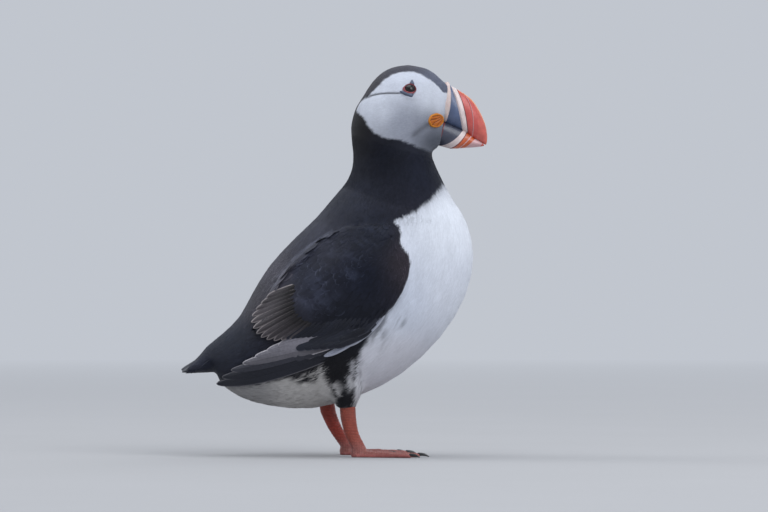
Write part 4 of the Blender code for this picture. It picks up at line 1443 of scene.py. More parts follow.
@dataclass
class CoatPlan:
    """The parts of the coat, from the face to the tail."""

    coat: Coat
    eye: Place = (47.2, 227.2)
    eye_bare: Tuple[Tuple[float, float, float, float], ...] = (
        (0.3, 0.0, 3.3, 2.75), (-3.5, -0.9, 0.9, 0.7), (1.1, 4.6, 0.4, 1.0), (-1.6, -3.8, 2.8, 0.25))
    upstream: Tuple[Place, ...] = ((0.0, 0.0), (-0.6, 0.1), (-1.2, 0.25))
    wing_margin: float = 0.3
    breast_rear: float = 22.0
    bill_width: Tuple[Tuple[float, ...], Tuple[float, ...]] = (
        (190.0, 194.0, 200.0, 208.0, 218.0, 225.0, 228.0, 230.0), (2.5, 4.2, 5.6, 6.4, 6.0, 5.0, 2.5, 0.0))

    def bare_eye(self, side: Array, out: Array) -> Array:
        """Whether feathers rooted at each place would cover the bare skin and plates round the eye."""
        bare = np.zeros(len(side), bool)
        for df, dz, rf, rz in self.eye_bare:
            for step in self.upstream:
                offset = side + np.array(step) - np.array(self.eye) - np.array((df, dz))
                bare |= (offset[:, 0] / rf) ** 2 + (offset[:, 1] / rz) ** 2 < 1.0
        return bare & (out > FACE_OUT)

    def head(self, points: Array, normals: Array) -> Array:
        """Head down to the lower edge of the face."""
        side, out = side_view(points), np.abs(points[:, 0]) / MM
        hidden = (ahead_of_bill(side) > 0.2) & (out < np.interp(side[:, 1], *self.bill_width))
        return self.on_head(side) & ~hidden & ~self.bare_eye(side, out)

    def on_head(self, side: Array) -> Array:
        """Whether places lie above the line that parts the head from the neck."""
        return side[:, 1] - (203.5 - 0.27 * (side[:, 0] - 10.0)) > -3.0

    def neck(self, points: Array, normals: Array) -> Array:
        """Neck between the face and the shoulders."""
        side = side_view(points)
        return ~self.on_head(side) & ~self.below_neck(side) & ~self.bib(points, side)

    def bib(self, points: Array, side: Array) -> Array:
        """Whether places lie on the white top of the breast."""
        low_front = (side[:, 1] < 180.0) & (side[:, 0] > self.breast_rear)
        return low_front & (self.coat.markings.pale(points) > 0.5)

    def off_wing(self, points: Array) -> Array:
        """Whether places lie outside the wing's outline."""
        return self.coat.on_wing(points) < self.wing_margin

    def below_neck(self, side: Array) -> Array:
        """Whether places lie below the neck's base."""
        return side[:, 1] - (171.0 - 0.36 * (side[:, 0] - 8.0)) <= -2.0

    def back_line(self, side: Array) -> Array:
        """Height above the line that parts the back from the belly, in millimetres."""
        line = curve_through(np.array([[44.0], [58.0], [78.0], [100.0], [128.0], [146.0], [150.0]]),
                             (side[:, 0] + 80.0) / 24.0)[:, 0]
        return side[:, 1] - line

    def breast(self, points: Array, normals: Array) -> Array:
        """Breast and front of the belly."""
        side = side_view(points)
        lower = self.below_neck(side) & (self.back_line(side) <= 0.0)
        upper = self.bib(points, side) & ~self.below_neck(side)
        return (lower | upper) & self.off_wing(points) & (side[:, 0] > self.breast_rear)

    def vent(self, points: Array, normals: Array) -> Array:
        """Loose feathers of the flanks, thighs, belly's rear and vent."""
        side = side_view(points)
        return (self.below_neck(side) & (self.back_line(side) <= 0.0) & self.off_wing(points)
                & (side[:, 0] <= self.breast_rear) & (side[:, 0] > -88.0) & (side[:, 1] > 28.5))

    def back(self, points: Array, normals: Array) -> Array:
        """Mantle, back and rump."""
        side = side_view(points)
        return (self.below_neck(side) & (self.back_line(side) > 0.0) & self.off_wing(points)
                & (side[:, 0] > -85.0))

    def scapulars(self, points: Array, normals: Array) -> Array:
        """The long soft shoulder feathers that lie over the upper wing."""
        inside = outline_distance(SCAPULARS, side_view(points))
        return (inside > 0.0) & ~self.off_wing(points) & (normals[:, 0] * points[:, 0] > 0.0)

    def wing(self, points: Array, normals: Array) -> Array:
        """Coverts of the folded wing, above the long feathers and below the shoulder feathers."""
        side = side_view(points)
        line = curve_through(np.array([[101.0], [93.0], [87.0], [82.0], [81.0], [83.0], [92.0], [100.0]]),
                             (side[:, 0] + 48.0) / 13.5)[:, 0]
        within = outline_distance(SCAPULARS, side)
        return (~self.off_wing(points) & (side[:, 1] > line)
                & (normals[:, 0] * points[:, 0] > 0.0) & (within < 5.0))

    def head_sizes(self, points: Array) -> Array:
        """Smallest near the bill and eye."""
        side = side_view(points)
        near_bill = smoothstep(-14.0, 0.0, ahead_of_bill(side))
        near_eye = np.exp(-((side - np.array(self.eye)) ** 2).sum(axis=1) / 60.0)
        return 1.1 - 0.35 * near_bill - 0.3 * near_eye + 0.4 * smoothstep(212.0, 196.0, side[:, 1])

    def back_sizes(self, points: Array) -> Array:
        """Larger down the back, small again on the rump."""
        side = side_view(points)
        return 0.75 + 0.45 * smoothstep(20.0, -30.0, side[:, 0]) - 0.40 * smoothstep(-50.0, -66.0, side[:, 0])

    def wing_sizes(self, points: Array) -> Array:
        """Tiny scales at the bend, broad feathers towards the rear."""
        side = side_view(points)
        bend = np.linalg.norm(side - np.array((48.0, 121.0)), axis=1)
        return 0.30 + 0.70 * smoothstep(2.0, 46.0, bend)

    def scapular_sizes(self, points: Array) -> Array:
        """Short at the shoulder, long towards the lower edge."""
        side = side_view(points)
        return 0.50 + 0.50 * smoothstep(40.0, -8.0, side[:, 0]) * smoothstep(150.0, 112.0, side[:, 1])

    def parts(self) -> List[CoatPart]:
        """Every part of the coat."""
        made: List[CoatPart] = []

        def sided(name: str, slot: str, finish: str, where: Area, tuft: Tuft,
                  scale: Callable[[Array], Array], seed: int) -> None:
            """Adds a part once for each side of the bird."""
            for label, side in SIDES.items():
                def here(points: Array, normals: Array, side: float = side) -> Array:
                    """The part's area on one side."""
                    return where(points, normals) & (points[:, 0] * side >= 0.0)

                made.append(CoatPart(f"{name}_{label}", slot, finish, here, tuft, scale,
                                     seed + int(side > 0)))

        sided("head_feathers", "white_feathers", "soft", self.head,
              Tuft(FeatherForm.FUZZ, 2.5, 0.80, 0.46, 0.8, 0.26, 0.08, 0.08, 0.10), self.head_sizes, 11)
        sided("neck_feathers", "black_feathers", "velvet", self.neck,
              Tuft(FeatherForm.FUZZ, 4.2, 1.25, 0.74, 1.5, 0.35, 0.12, 0.12, 0.22), even, 21)
        sided("breast_feathers", "white_feathers", "soft", self.breast,
              Tuft(FeatherForm.WISP, 8.0, 2.0, 1.05, 2.0, 0.11, 0.03, 0.07, 0.06), even, 31)
        sided("vent_feathers", "white_feathers", "soft", self.vent,
              Tuft(FeatherForm.WISP, 9.0, 1.6, 1.15, 2.3, 0.34, 0.06, 0.20, 0.14), even, 41)
        sided("back_feathers", "black_feathers", "dark", self.back,
              Tuft(FeatherForm.SOFT, 8.0, 3.0, 1.40, 1.7, 0.24, 0.10, 0.12, 0.22), self.back_sizes, 51)
        sided("wing_coverts", "black_feathers", "dark", self.wing,
              Tuft(FeatherForm.ROUND, 12.5, 7.2, 3.1, 1.6, 0.24, 0.10, 0.06, 0.30), self.wing_sizes, 61)
        sided("scapulars", "black_feathers", "dark", self.scapulars,
              Tuft(FeatherForm.ROUND, 15.5, 8.4, 3.2, 1.5, 0.22, 0.10, 0.09, 0.30, 0.5),
              self.scapular_sizes, 71)
        return made


@dataclass
class Underskin:
    """The one skin under the feathers."""

    body: BodySurface
    markings: Markings
    depth: float = 1.9 * MM
    face_depth: float = 0.85 * MM

    def build(self, material: Material) -> None:
        """Makes the skin, in from the outer form by the coat's depth."""
        mesh = self.body.mesh
        points, normals = read(mesh.vertices, "co", 3), self.body.smoothed_normals(mesh)
        head = smoothstep(190.0, 200.0, points[:, 2] / MM)
        depth = self.depth + (self.face_depth - self.depth) * head
        depth = depth * (1.0 - 0.75 * smoothstep(-66.0, -78.0, side_view(points)[:, 0]))
        moved = points + normals * (self.body.relief(points) - depth)[:, None]
        piece = MeshParts("skin", moved, triangles(mesh), {"tint": self.markings.tints(points)},
                          sharp_angle=ALL_SMOOTH)
        settle(piece, material, self.body.flesh)


# ---------------------------------------------------------------- long feathers

@dataclass
class Plume:
    """One long feather laid out on a flat chart.

    The path runs from root to tip through the middle point; widths are of the upper and lower web.
    """

    path: Tuple[Place, Place, Place]
    upper: float
    lower: float
    layer: float
    tint: Colour
    rim: Colour
    pointed: float = 0.5
    brim: float = 1.3
    sink: float = 0.0
    arch: float = 0.9
    fade: float = 0.0


def bowed(root: Place, tip: Place, ahead: float, up: float) -> Tuple[Place, Place, Place]:
    """A feather's path, its middle moved ahead and up from the straight line."""
    return root, ((root[0] + tip[0]) / 2.0 + ahead, (root[1] + tip[1]) / 2.0 + up), tip


@dataclass
class PlumeMaker:
    """Builds long feathers with a shaft, two webs and a thin closed body."""

    rings: int = 18
    across: int = 5
    inner: float = 0.14
    thickness: float = 0.35
    shaft: float = 0.22

    def shape(self, t: Array, pointed: float) -> Array:
        """Width along the feather, as a share."""
        grow = smoothstep(-0.25, 0.25, t)
        end = np.clip((1.0 - t) / (0.10 + 0.30 * pointed), 0.0, 1.0)
        return grow * np.sqrt(np.clip(1.0 - (1.0 - end) ** 2, 0.0, 1.0))

    def mesh(self, plume: Plume, put: Callable[[Array, Array], Array]) -> Tuple[Array, Array, Array, Array]:
        """Builds one feather.

        Args:
            plume: The feather.
            put: Turns chart places and heights in millimetres into points in metres.

        Returns:
            Points, triangles, the lay of each point and how near each is to the feather's edge.
        """
        t = 1.0 - (1.0 - np.linspace(0.0, 1.0, self.rings)) ** 1.6
        t[-1] = 0.9995
        path = np.array(plume.path, float)
        centre = ((1 - t) ** 2)[:, None] * path[0] + (2 * t * (1 - t))[:, None] * (
            2.0 * path[1] - (path[0] + path[2]) / 2.0) + (t ** 2)[:, None] * path[2]
        length = float(np.linalg.norm(path[2] - path[0]))
        heading = unit(np.gradient(centre, axis=0))
        sideways = columns(-heading[:, 1], heading[:, 0])
        width = self.shape(t, plume.pointed)
        layer = plume.layer - plume.sink * (1.0 - smoothstep(0.1, 0.5, t))
        spots, heights, lay, near = [], [], [], []
        shares = np.concatenate([np.linspace(-1.0, -self.inner, self.across), [0.0],
                                 np.linspace(self.inner, 1.0, self.across)])
        for share in shares:
            web = np.where(share > 0, plume.upper, plume.lower) * width
            spots.append(centre + sideways * (web * share)[:, None])
            arch = plume.arch * (1.0 - share ** 2) * np.minimum(1.0, width + 0.2)
            ridge = self.shaft * (1.0 - 0.75 * t) if share == 0.0 else 0.0
            heights.append(layer + arch + ridge + self.thickness * 0.5)
            lay.append(columns(t, np.full(len(t), share), np.zeros(len(t))))
            inside = np.minimum(web * (1.0 - abs(share)), (1.0 - t) * length)
            near.append(np.clip(1.0 - 0.3 * inside / plume.brim, 0.0, 1.0))
        for share in (0.5, -0.5):
            web = np.where(share > 0, plume.upper, plume.lower) * width
            spots.append(centre + sideways * (web * share)[:, None])
            heights.append(layer + plume.arch * (1.0 - share ** 2) * np.minimum(1.0, width + 0.2)
                           - self.thickness * 0.5)
            lay.append(columns(t, np.full(len(t), share), np.zeros(len(t))))
            near.append(np.zeros(len(t)))
        spots_all = np.stack(spots, axis=1)
        heights_all = np.stack(heights, axis=1)
        rings = put(spots_all.reshape(-1, 2), heights_all.reshape(-1)).reshape(self.rings, -1, 3)
        points, faces = closed_loft(rings)
        lays = np.stack(lay, axis=1).reshape(-1, 3)
        lays = np.vstack([lays, [[0.0, 0.0, 0.0], [1.0, 0.0, 0.0]]])
        return points, faces, lays, np.concatenate([np.stack(near, axis=1).ravel(), [0.0, 1.0]])


def join_plumes(name: str, plumes: Sequence[Plume], maker: PlumeMaker, put: Callable[[Array, Array], Array],
                seed: int) -> MeshParts:
    """Joins a set of long feathers into one mesh.

    Args:
        name: The piece's name.
        plumes: The feathers.
        maker: Builds each one.
        put: Turns chart places and heights into points.
        seed: Chooses small differences of tone.

    Returns:
        The mesh.
    """
    rng = np.random.default_rng(seed)
    kept: Dict[str, List[Array]] = {key: [] for key in ("points", "faces", "tint", "rim", "lay", "uv")}
    offset = 0
    for index, plume in enumerate(plumes):
        points, faces, lays, near = maker.mesh(plume, put)
        lays[:, 2] = rng.random()
        tone = rng.uniform(0.88, 1.12) * (1.0 - plume.fade * (1.0 - smoothstep(0.35, 0.85, lays[:, 0])))
        row, column = divmod(index, 4)
        uv = columns(0.02 + 0.24 * column + 0.11 * (lays[:, 1] + 1.0),
                     0.02 + 0.19 * (row % 5) + 0.17 * lays[:, 0])
        rim = np.hstack([np.tile(np.array(plume.rim), (len(points), 1)), near[:, None]])
        for key, rows in (("points", points), ("faces", faces + offset), ("tint", np.array(plume.tint) *
                          tone[:, None]), ("rim", rim), ("lay", lays), ("uv", uv)):
            kept[key].append(rows)
        offset += len(points)
    made = {key: np.vstack(rows) for key, rows in kept.items()}
    return MeshParts(name, made["points"], made["faces"], {"tint": made["tint"], "rim": made["rim"]},
                     {"lay": made["lay"]}, made["uv"], 50.0)


@dataclass
class WingFeathers:
    """Secondaries, tertials, primaries and the pale lining edge of both folded wings."""

    chart: WingChart
    primary_tips: Tuple[Place, ...] = (
        (-34.0, 69.4), (-41.0, 66.2), (-48.4, 62.4), (-56.0, 58.2), (-63.4, 53.8), (-69.0, 49.4),
        (-72.6, 45.2))
    tertial_tips: Tuple[Place, ...] = (
        (-27.0, 73.6), (-32.0, 72.6), (-36.6, 72.2), (-41.0, 72.8), (-44.6, 74.2), (-47.4, 76.6),
        (-49.4, 79.8), (-50.6, 83.4), (-50.2, 87.4), (-47.8, 91.2), (-44.6, 94.8), (-41.2, 98.6))
    secondary_count: int = 15
    secondary_length: float = 24.0
    lining_paths: Tuple[Tuple[Tuple[Place, Place, Place], float, float], ...] = (
        (((25.0, 82.0), (9.0, 69.6), (-6.0, 62.6)), 2.0, -3.0),
        (((31.0, 88.0), (20.5, 76.6), (8.0, 68.6)), 2.2, -2.2))
    lining_rim: Colour = (0.6, 0.62, 0.7)
    primary_tint: Colour = (0.185, 0.177, 0.203)
    outer_tint: Colour = (0.022, 0.024, 0.035)
    primary_rim: Colour = (0.66, 0.63, 0.66)
    secondary_tint: Colour = (0.012, 0.014, 0.024)
    secondary_rim: Colour = (0.060, 0.066, 0.095)
    tertial_tint: Colour = (0.062, 0.054, 0.060)
    tertial_rim: Colour = (0.32, 0.285, 0.285)
    covert_rim: Colour = (0.095, 0.100, 0.130)
    pale_tint: Colour = (0.30, 0.32, 0.40)

    def primaries(self) -> List[Plume]:
        """The long stack of primaries, innermost on top."""
        made = []
        for index, tip in enumerate(self.primary_tips):
            share = index / (len(self.primary_tips) - 1.0)
            dark = float(smoothstep(0.45, 0.72, np.array([share]))[0])
            root = (14.0 + 6.0 * share, 80.5 - 4.0 * share)
            path = bowed(root, tip, 1.0, 1.4 - 6.0 * share)
            tint = tuple(a + (b - a) * dark for a, b in zip(self.primary_tint, self.outer_tint))
            rim = tuple(a + (b - a) * 0.8 * dark for a, b in zip(self.primary_rim, self.outer_tint))
            made.append(Plume(path, 4.6, 3.4, -0.5 - 0.42 * index, tint, rim, 0.75, 0.55, 2.2))
        return made

    def primary_coverts(self) -> List[Plume]:
        """Dark coverts over the roots of the primaries."""
        made = []
        for start, rise, count in ((-23.0, 67.2, 6), (-15.5, 71.4, 5)):
            for index in range(count):
                tip = (start + 4.6 * index, rise + 0.35 * index)
                root = (tip[0] + 23.0, tip[1] + 11.5 - 0.3 * index)
                layer = -0.35 + 0.10 * index + 0.05 * (rise - 67.2)
                made.append(Plume(bowed(root, tip, 0.0, -0.8), 2.7, 2.5, layer, self.secondary_tint,
                                  self.covert_rim, 0.25, 0.6, 1.6, 0.6))
        return made

    def secondaries(self) -> List[Plume]:
        """Dark secondaries whose ends line the wing's lower edge."""
        made = []
        for index in range(self.secondary_count):
            share = index / (self.secondary_count - 1.0)
            tip = (16.0 - 46.0 * share, 76.0 - 2.4 * share)
            lean = math.radians(52.0 - 12.0 * share)
            root = (tip[0] + self.secondary_length * math.cos(lean),
                    tip[1] + self.secondary_length * math.sin(lean))
            made.append(Plume(bowed(root, tip, 1.2, -1.0), 2.0, 2.3, -0.75 + 0.07 * index,
                              self.secondary_tint, self.secondary_rim, 0.3, 0.8, 1.6))
        return made

    def tertials(self) -> List[Plume]:
        """Worn brown tertials fanned over the rear."""
        made = []
        for index, tip in enumerate(self.tertial_tips):
            share = index / (len(self.tertial_tips) - 1.0)
            root = (-5.0 - 9.0 * share, 88.0 + 20.0 * share)
            made.append(Plume(bowed(root, tip, 0.0, 0.8), 1.9, 2.1, 0.3 + 0.06 * index, self.tertial_tint,
                              self.tertial_rim, 0.35, 0.7, 3.2, fade=0.8))
        return made

    def lining(self) -> List[Plume]:
        """Pale feathers that show under the wing's lower edge."""
        return [Plume(path, 1.6, width, layer, self.pale_tint, self.lining_rim, 0.6)
                for path, width, layer in self.lining_paths]

    def build(self, long_finish: Material, worn_finish: Material) -> None:
        """Builds both wings' long feathers.

        Args:
            long_finish: Finish of the dark feathers.
            worn_finish: Finish of the brown feathers.
        """
        for label, side in SIDES.items():
            def put(spots: Array, heights: Array, side: float = side) -> Array:
                """Lays chart places on this side's wing."""
                out = self.chart.at(spots) + heights
                return columns(side * out, -spots[:, 0], spots[:, 1]) * MM
            maker = PlumeMaker()
            sets = (("primaries_plumes", self.primaries(), "brown_feathers", worn_finish,
                     [f"primaries_{label}"]),
                    ("primary_coverts", self.primary_coverts(), "black_feathers", long_finish, []),
                    ("secondaries_plumes", self.secondaries(), "black_feathers", long_finish, []),
                    ("tertials_plumes", self.tertials(), "brown_feathers", worn_finish, []),
                    ("lining_plumes", self.lining(), "white_feathers", long_finish, []))
            for name, plumes, slot, finish, replaced in sets:
                parts = join_plumes(f"{name}_{label}", plumes, maker, put, 7)
                settle(parts, finish, replaced)


@dataclass
class TailFeathers:
    """The short fan of the tail."""

    root: Place = (-73.0, 67.0)
    tip: Place = (-94.7, 53.6)
    pairs: int = 6
    spread: float = 17.0
    tint: Colour = (0.012, 0.014, 0.024)
    rim: Colour = (0.030, 0.034, 0.052)

    def build(self, finish: Material) -> None:
        """Builds the tail's feathers, middle pair on top."""
        root, tip = np.array(self.root), np.array(self.tip)
        length = float(np.linalg.norm(tip - root))
        heading = (tip - root) / length
        lift = np.array([-heading[1], heading[0]]) * (1.0 if heading[0] > 0 else -1.0)

        def put(spots: Array, heights: Array) -> Array:
            """Lays chart places, along and across, on the tail's upper side."""
            along, across = spots[:, 0], spots[:, 1]
            level = heights - 0.010 * across ** 2
            side = root + along[:, None] * heading + level[:, None] * lift
            return columns(across, -side[:, 0], side[:, 1]) * MM

        plumes = []
        for index in range(self.pairs):
            share = (index + 0.4) / self.pairs
            reach = length * (1.0 - 0.22 * share ** 2)
            for side in (-1.0, 1.0):
                start = (-6.0, side * 5.0 * share)
                end = (reach, side * self.spread * share)
                plumes.append(Plume(bowed(start, end, 0.0, -side * 0.8), 3.4, 3.4,
                                    -0.5 - 0.45 * index + 0.1 * side, self.tint, self.rim, 0.45, 0.8,
                                    0.0, 0.6))
        parts = join_plumes("tail_plumes", plumes, PlumeMaker(thickness=0.5), put, 9)
        settle(parts, finish, ["tail"])


# ---------------------------------------------------------------- bill

@dataclass
class BillBand:
    """A line across the bill from its lower to its upper edge, and the colour that follows it.

    The line is given by its low end, middle and high end; half is the bill's half width there.
    """

    low: Place
    middle: Place
    high: Place
    half: float
    colour: Colour
    relief: float = 0.0
    crest: float = 0.0


@dataclass
class BillShell:
    """One half of the bill, lofted through curved lines across it."""

    name: str
    bands: Tuple[BillBand, ...]
    replaced: Tuple[str, ...]
    narrow_high: float
    narrow_low: float
    steps: int = 12
    levels: int = 26

    def rings(self) -> Tuple[Array, Array]:
        """Rings round the bill and the colour at each.

        Returns:
            Rings as rings by points by three in metres, and a colour for each of their points.
        """
        rows = np.array([[*b.low, *b.middle, *b.high, b.half, b.relief] for b in self.bands])
        colours = np.array([b.colour for b in self.bands])
        crests = np.array([b.crest for b in self.bands])
        t = np.linspace(0.0, len(rows) - 1.0, (len(rows) - 1) * self.steps + 1)
        table = curve_through(rows, t)
        h = 0.5 - 0.5 * np.cos(np.linspace(0.0, math.pi, self.levels))
        made, tints = [], []
        for position, row in zip(t, table):
            low, middle, high, half, relief = row[0:2], row[2:4], row[4:6], row[6], row[7]
            bend = 2.0 * middle - (low + high) / 2.0
            path = ((1 - h) ** 2)[:, None] * low + (2 * h * (1 - h))[:, None] * bend
            path = path + (h ** 2)[:, None] * high
            body = np.abs(np.sin(math.pi * np.clip(h, 0.0, 1.0))) ** 0.42
            lean = 1.0 - self.narrow_high * h ** 1.5 - self.narrow_low * (1.0 - h) ** 1.5
            edge = np.minimum(1.0, 6.0 * np.minimum(h, 1.0 - h))
            out = half * body * lean + relief * edge
            out = np.where((h < 1e-6) | (h > 1.0 - 1e-6), 0.0, out)
            right = columns(-out, -path[:, 0], path[:, 1])
            left = columns(out, -path[:, 0], path[:, 1])[1:-1][::-1]
            made.append(np.vstack([right, left]) * MM)
            index = min(int(position + 1e-9), len(rows) - 2)
            warm = (smoothstep(0.86, 0.965, h) * crests[index])[:, None]
            tint = colours[index] * (1.0 - warm) + np.array(AMBER) * warm
            tints.append(np.vstack([tint, tint[1:-1][::-1]]))
        return np.array(made), np.array(tints)

    def build(self, finish: Material, slot: str) -> None:
        """Builds the shell with its coloured bands."""
        rings, tints = self.rings()
        points, faces = closed_loft(rings)
        colour = np.vstack([tints.reshape(-1, 3), tints[0, :1], tints[-1, :1]])
        piece = MeshParts(self.name, points, faces, {"tint": colour}, sharp_angle=60.0)
        settle(piece, finish, self.replaced)


# RED: the bill's own red, with a bluish cast added as painted sky reflection
RED = (0.54, 0.085, 0.072)
TIP_RED = (0.57, 0.110, 0.084)
GROOVE = (0.16, 0.030, 0.035)
SLATE = (0.085, 0.116, 0.210)
DARK_SLATE = (0.050, 0.056, 0.085)
CREAM = (0.72, 0.60, 0.58)
# PINK: the own pink of the fleshy strip and bill; on the upper bill's second groove it is a painted highlight
PINK = (0.60, 0.36, 0.37)
ORANGE = (0.56, 0.105, 0.028)
AMBER = (0.66, 0.20, 0.035)


@dataclass
class Bill:
    """The tall banded bill, with the fleshy strip at its base."""

    upper: BillShell = field(default_factory=lambda: BillShell("bill_upper_horn", (
        BillBand((67.6, 207.2), (69.0, 218.4), (69.6, 230.6), 6.6, SLATE),
        BillBand((69.2, 206.4), (72.0, 218.2), (71.0, 230.6), 7.3, SLATE),
        BillBand((74.4, 204.1), (74.8, 216.6), (71.9, 229.9), 7.3, SLATE),
        BillBand((79.6, 201.9), (77.0, 215.2), (72.6, 229.4), 7.0, CREAM, 0.0),
        BillBand((80.2, 201.5), (77.8, 215.4), (73.3, 229.0), 7.0, CREAM, 0.65),
        BillBand((82.0, 200.4), (79.6, 215.6), (75.0, 228.0), 6.7, CREAM, 0.60),
        BillBand((82.8, 199.8), (80.5, 215.4), (75.8, 227.6), 6.6, GROOVE, -0.25),
        BillBand((83.3, 199.4), (81.0, 215.2), (76.3, 227.3), 6.4, RED, 0.12, 0.3),
        BillBand((85.0, 198.0), (84.6, 213.6), (79.4, 225.4), 6.0, RED, 0.12, 0.6),
        # painted highlight: pale pink line along the upper bill's second groove
        BillBand((85.5, 197.7), (85.4, 213.0), (80.2, 224.9), 5.8, PINK, -0.28, 0.6),
        BillBand((85.9, 197.4), (86.0, 212.6), (80.9, 224.5), 5.7, RED, 0.12, 0.9),
        BillBand((88.4, 196.1), (89.4, 208.4), (86.0, 220.2), 4.8, TIP_RED, 0.0, 1.0),
        BillBand((90.8, 194.8), (92.0, 203.4), (90.4, 213.4), 3.6, TIP_RED, 0.0, 1.0),
        BillBand((92.6, 193.6), (93.8, 198.6), (93.6, 206.0), 2.4, TIP_RED, 0.0, 1.0),
        BillBand((93.6, 193.1), (94.5, 195.4), (94.9, 199.4), 1.4, ORANGE, 0.0, 1.0),
        BillBand((94.2, 192.9), (94.6, 194.0), (94.9, 195.6), 0.5, ORANGE),
    ), ("bill_upper",), 0.45, 0.06))
    lower: BillShell = field(default_factory=lambda: BillShell("bill_lower_horn", (
        BillBand((62.8, 194.0), (65.0, 200.2), (67.0, 206.4), 5.5, GROOVE),
        BillBand((64.6, 192.9), (66.6, 199.9), (68.2, 207.3), 7.3, GROOVE),
        BillBand((64.9, 192.8), (67.2, 199.7), (69.2, 206.9), 7.2, DARK_SLATE),
        BillBand((65.2, 192.6), (70.4, 197.5), (74.6, 204.8), 6.8, DARK_SLATE),
        BillBand((65.6, 192.2), (73.6, 195.1), (80.4, 202.2), 6.3, CREAM, 0.1),
        BillBand((71.6, 190.6), (77.6, 194.1), (82.2, 201.0), 5.7, GROOVE, -0.15),
        BillBand((72.6, 190.5), (78.2, 194.0), (82.7, 200.6), 5.6, ORANGE, 0.1),
        BillBand((77.0, 190.6), (81.4, 194.3), (85.0, 198.7), 5.0, PINK, -0.15),
        BillBand((77.8, 190.7), (82.1, 194.2), (85.6, 198.2), 4.8, ORANGE, 0.1),
        BillBand((81.2, 191.0), (84.8, 193.8), (87.4, 196.6), 4.3, PINK, 0.0),
        BillBand((86.6, 191.3), (88.6, 193.2), (90.4, 195.0), 3.2, PINK),
        BillBand((90.4, 191.7), (91.4, 192.8), (92.1, 193.9), 2.0, TIP_RED),
        BillBand((92.8, 192.2), (93.0, 192.5), (93.1, 192.8), 0.5, ORANGE),
    ), ("bill_lower",), 0.05, 0.40))
    strip: BillShell = field(default_factory=lambda: BillShell("bill_strip_flesh", (
        BillBand((66.6, 208.4), (67.6, 219.0), (67.2, 229.8), 6.6, PINK),
        BillBand((67.3, 207.4), (68.2, 218.9), (68.4, 231.0), 8.4, PINK, 0.1),
        BillBand((67.6, 207.2), (68.8, 218.9), (69.0, 231.6), 8.7, CREAM, 0.3),
        BillBand((68.4, 206.9), (70.6, 218.7), (70.0, 232.0), 8.7, CREAM, 0.45),
        BillBand((69.0, 206.7), (71.8, 218.4), (71.2, 231.4), 8.2, CREAM, 0.4),
        BillBand((69.3, 206.7), (72.3, 218.3), (71.7, 230.6), 7.4, CREAM),
    ), ("bill_strip",), 0.34, 0.04, 6))

    def build(self, horn: Material, flesh: Material) -> None:
        """Builds the bill."""
        self.upper.build(horn, "bill_horn")
        self.lower.build(horn, "bill_horn")
        self.strip.build(flesh, "bill_strip")


@dataclass
class Rosette:
    """The wrinkled orange skin at each corner of the gape."""

    centre: Place = (63.0, 207.9)
    radii: Tuple[float, float] = (5.1, 4.4)
    tilt: float = 20.0
    folds: int = 7
    height: float = 1.9
    rings: int = 18
    around: int = 72
    yellow: Colour = (0.70, 0.26, 0.015)
    orange: Colour = (0.50, 0.13, 0.005)
    deep: Colour = (0.17, 0.035, 0.003)

    def build(self, body: BodySurface, finish: Material) -> None:
        """Builds the rosette on each side of the head.

        Args:
            body: The surface it lies on.
            finish: Its material.
        """
        tilt = math.radians(self.tilt)
        for label, side in SIDES.items():
            share = np.linspace(0.02, 1.0, self.rings)
            turn = np.linspace(0.0, 2.0 * math.pi, self.around, endpoint=False)
            s, a = np.meshgrid(share, turn, indexing="ij")
            wave = 1.0 + 0.02 * np.sin(3.0 * a + 0.6) + 0.012 * np.sin(7.0 * a)
            df = self.radii[0] * s * np.cos(a) * wave
            dz = self.radii[1] * s * np.sin(a) * wave
            f = self.centre[0] + df * math.cos(tilt) - dz * math.sin(tilt)
            z = self.centre[1] + df * math.sin(tilt) + dz * math.cos(tilt)
            gape = np.arctan2(dz - self.radii[1] * 0.25, self.radii[0] * 1.15 - df)
            bent = 0.5 * np.sin(0.9 * df + 0.7 * dz) + 0.35 * np.sin(2.1 * dz - 0.8 * df)
            ridges = 1.0 - np.abs(np.cos(self.folds * 1.5 * gape + 0.6 * bent)) ** 4.0 * 0.8
            ridges = ridges * (1.0 - smoothstep(0.74, 0.90, s)) + smoothstep(0.74, 0.90, s)
            rim = np.exp(-((s - 0.88) / 0.09) ** 2)
            dome = np.sqrt(np.clip(1.0 - s ** 4, 0.0, 1.0))
            level = self.height * (0.55 * dome + 0.30 * ridges * dome + 0.22 * rim)
            flat = columns(np.full(f.size, side * 40.0), -f.ravel(), z.ravel()) * MM
            points = np.empty_like(flat)
            lie = np.empty_like(flat)
            hit = np.zeros(len(flat), bool)
            for index, row in enumerate(flat):
                place, normal, _, _ = body.tree.ray_cast(Vector(row), Vector((-side, 0.0, 0.0)), 0.1)
                if place is not None and ahead_of_bill(side_view(row[None]))[0] < -0.6:
                    points[index] = place
                    lie[index] = normal
                    hit[index] = True
            fit = np.column_stack([np.ones(len(flat)), flat[:, 1], flat[:, 2]])
            even_face = fit @ np.linalg.lstsq(fit[hit], points[hit, 0], rcond=None)[0]
            follow = np.where(hit, 0.5, 0.0)
            across = even_face * (1.0 - follow) + np.where(hit, points[:, 0], 0.0) * follow
            points = np.column_stack([across, flat[:, 1], flat[:, 2]])
            mean = unit(lie[hit].mean(axis=0, keepdims=True))
            points = points + mean * ((level.ravel() - 0.3) * MM)[:, None]
            base = points - mean * 1.6 * MM
            rings = np.concatenate([points, base[-self.around:]]).reshape(self.rings + 1, self.around, 3)
            made, faces = closed_loft(rings)
            yellow, orange, deep = (np.array(tone) for tone in (self.yellow, self.orange, self.deep))
            tint = deep + (orange - deep) * smoothstep(0.15, 0.75, ridges.ravel())[:, None]
            edge = smoothstep(0.70, 0.88, s.ravel())[:, None]
            tint = tint * (1.0 - edge) + yellow * edge
            tint = np.vstack([tint, np.tile(orange, (self.around, 1)), orange[None], orange[None]])
            piece = MeshParts(f"rosette_skin_{label}", made, faces, {"tint": tint}, sharp_angle=80.0)
            settle(piece, finish, [f"rosette_{label}"])


# ---------------------------------------------------------------- eyes

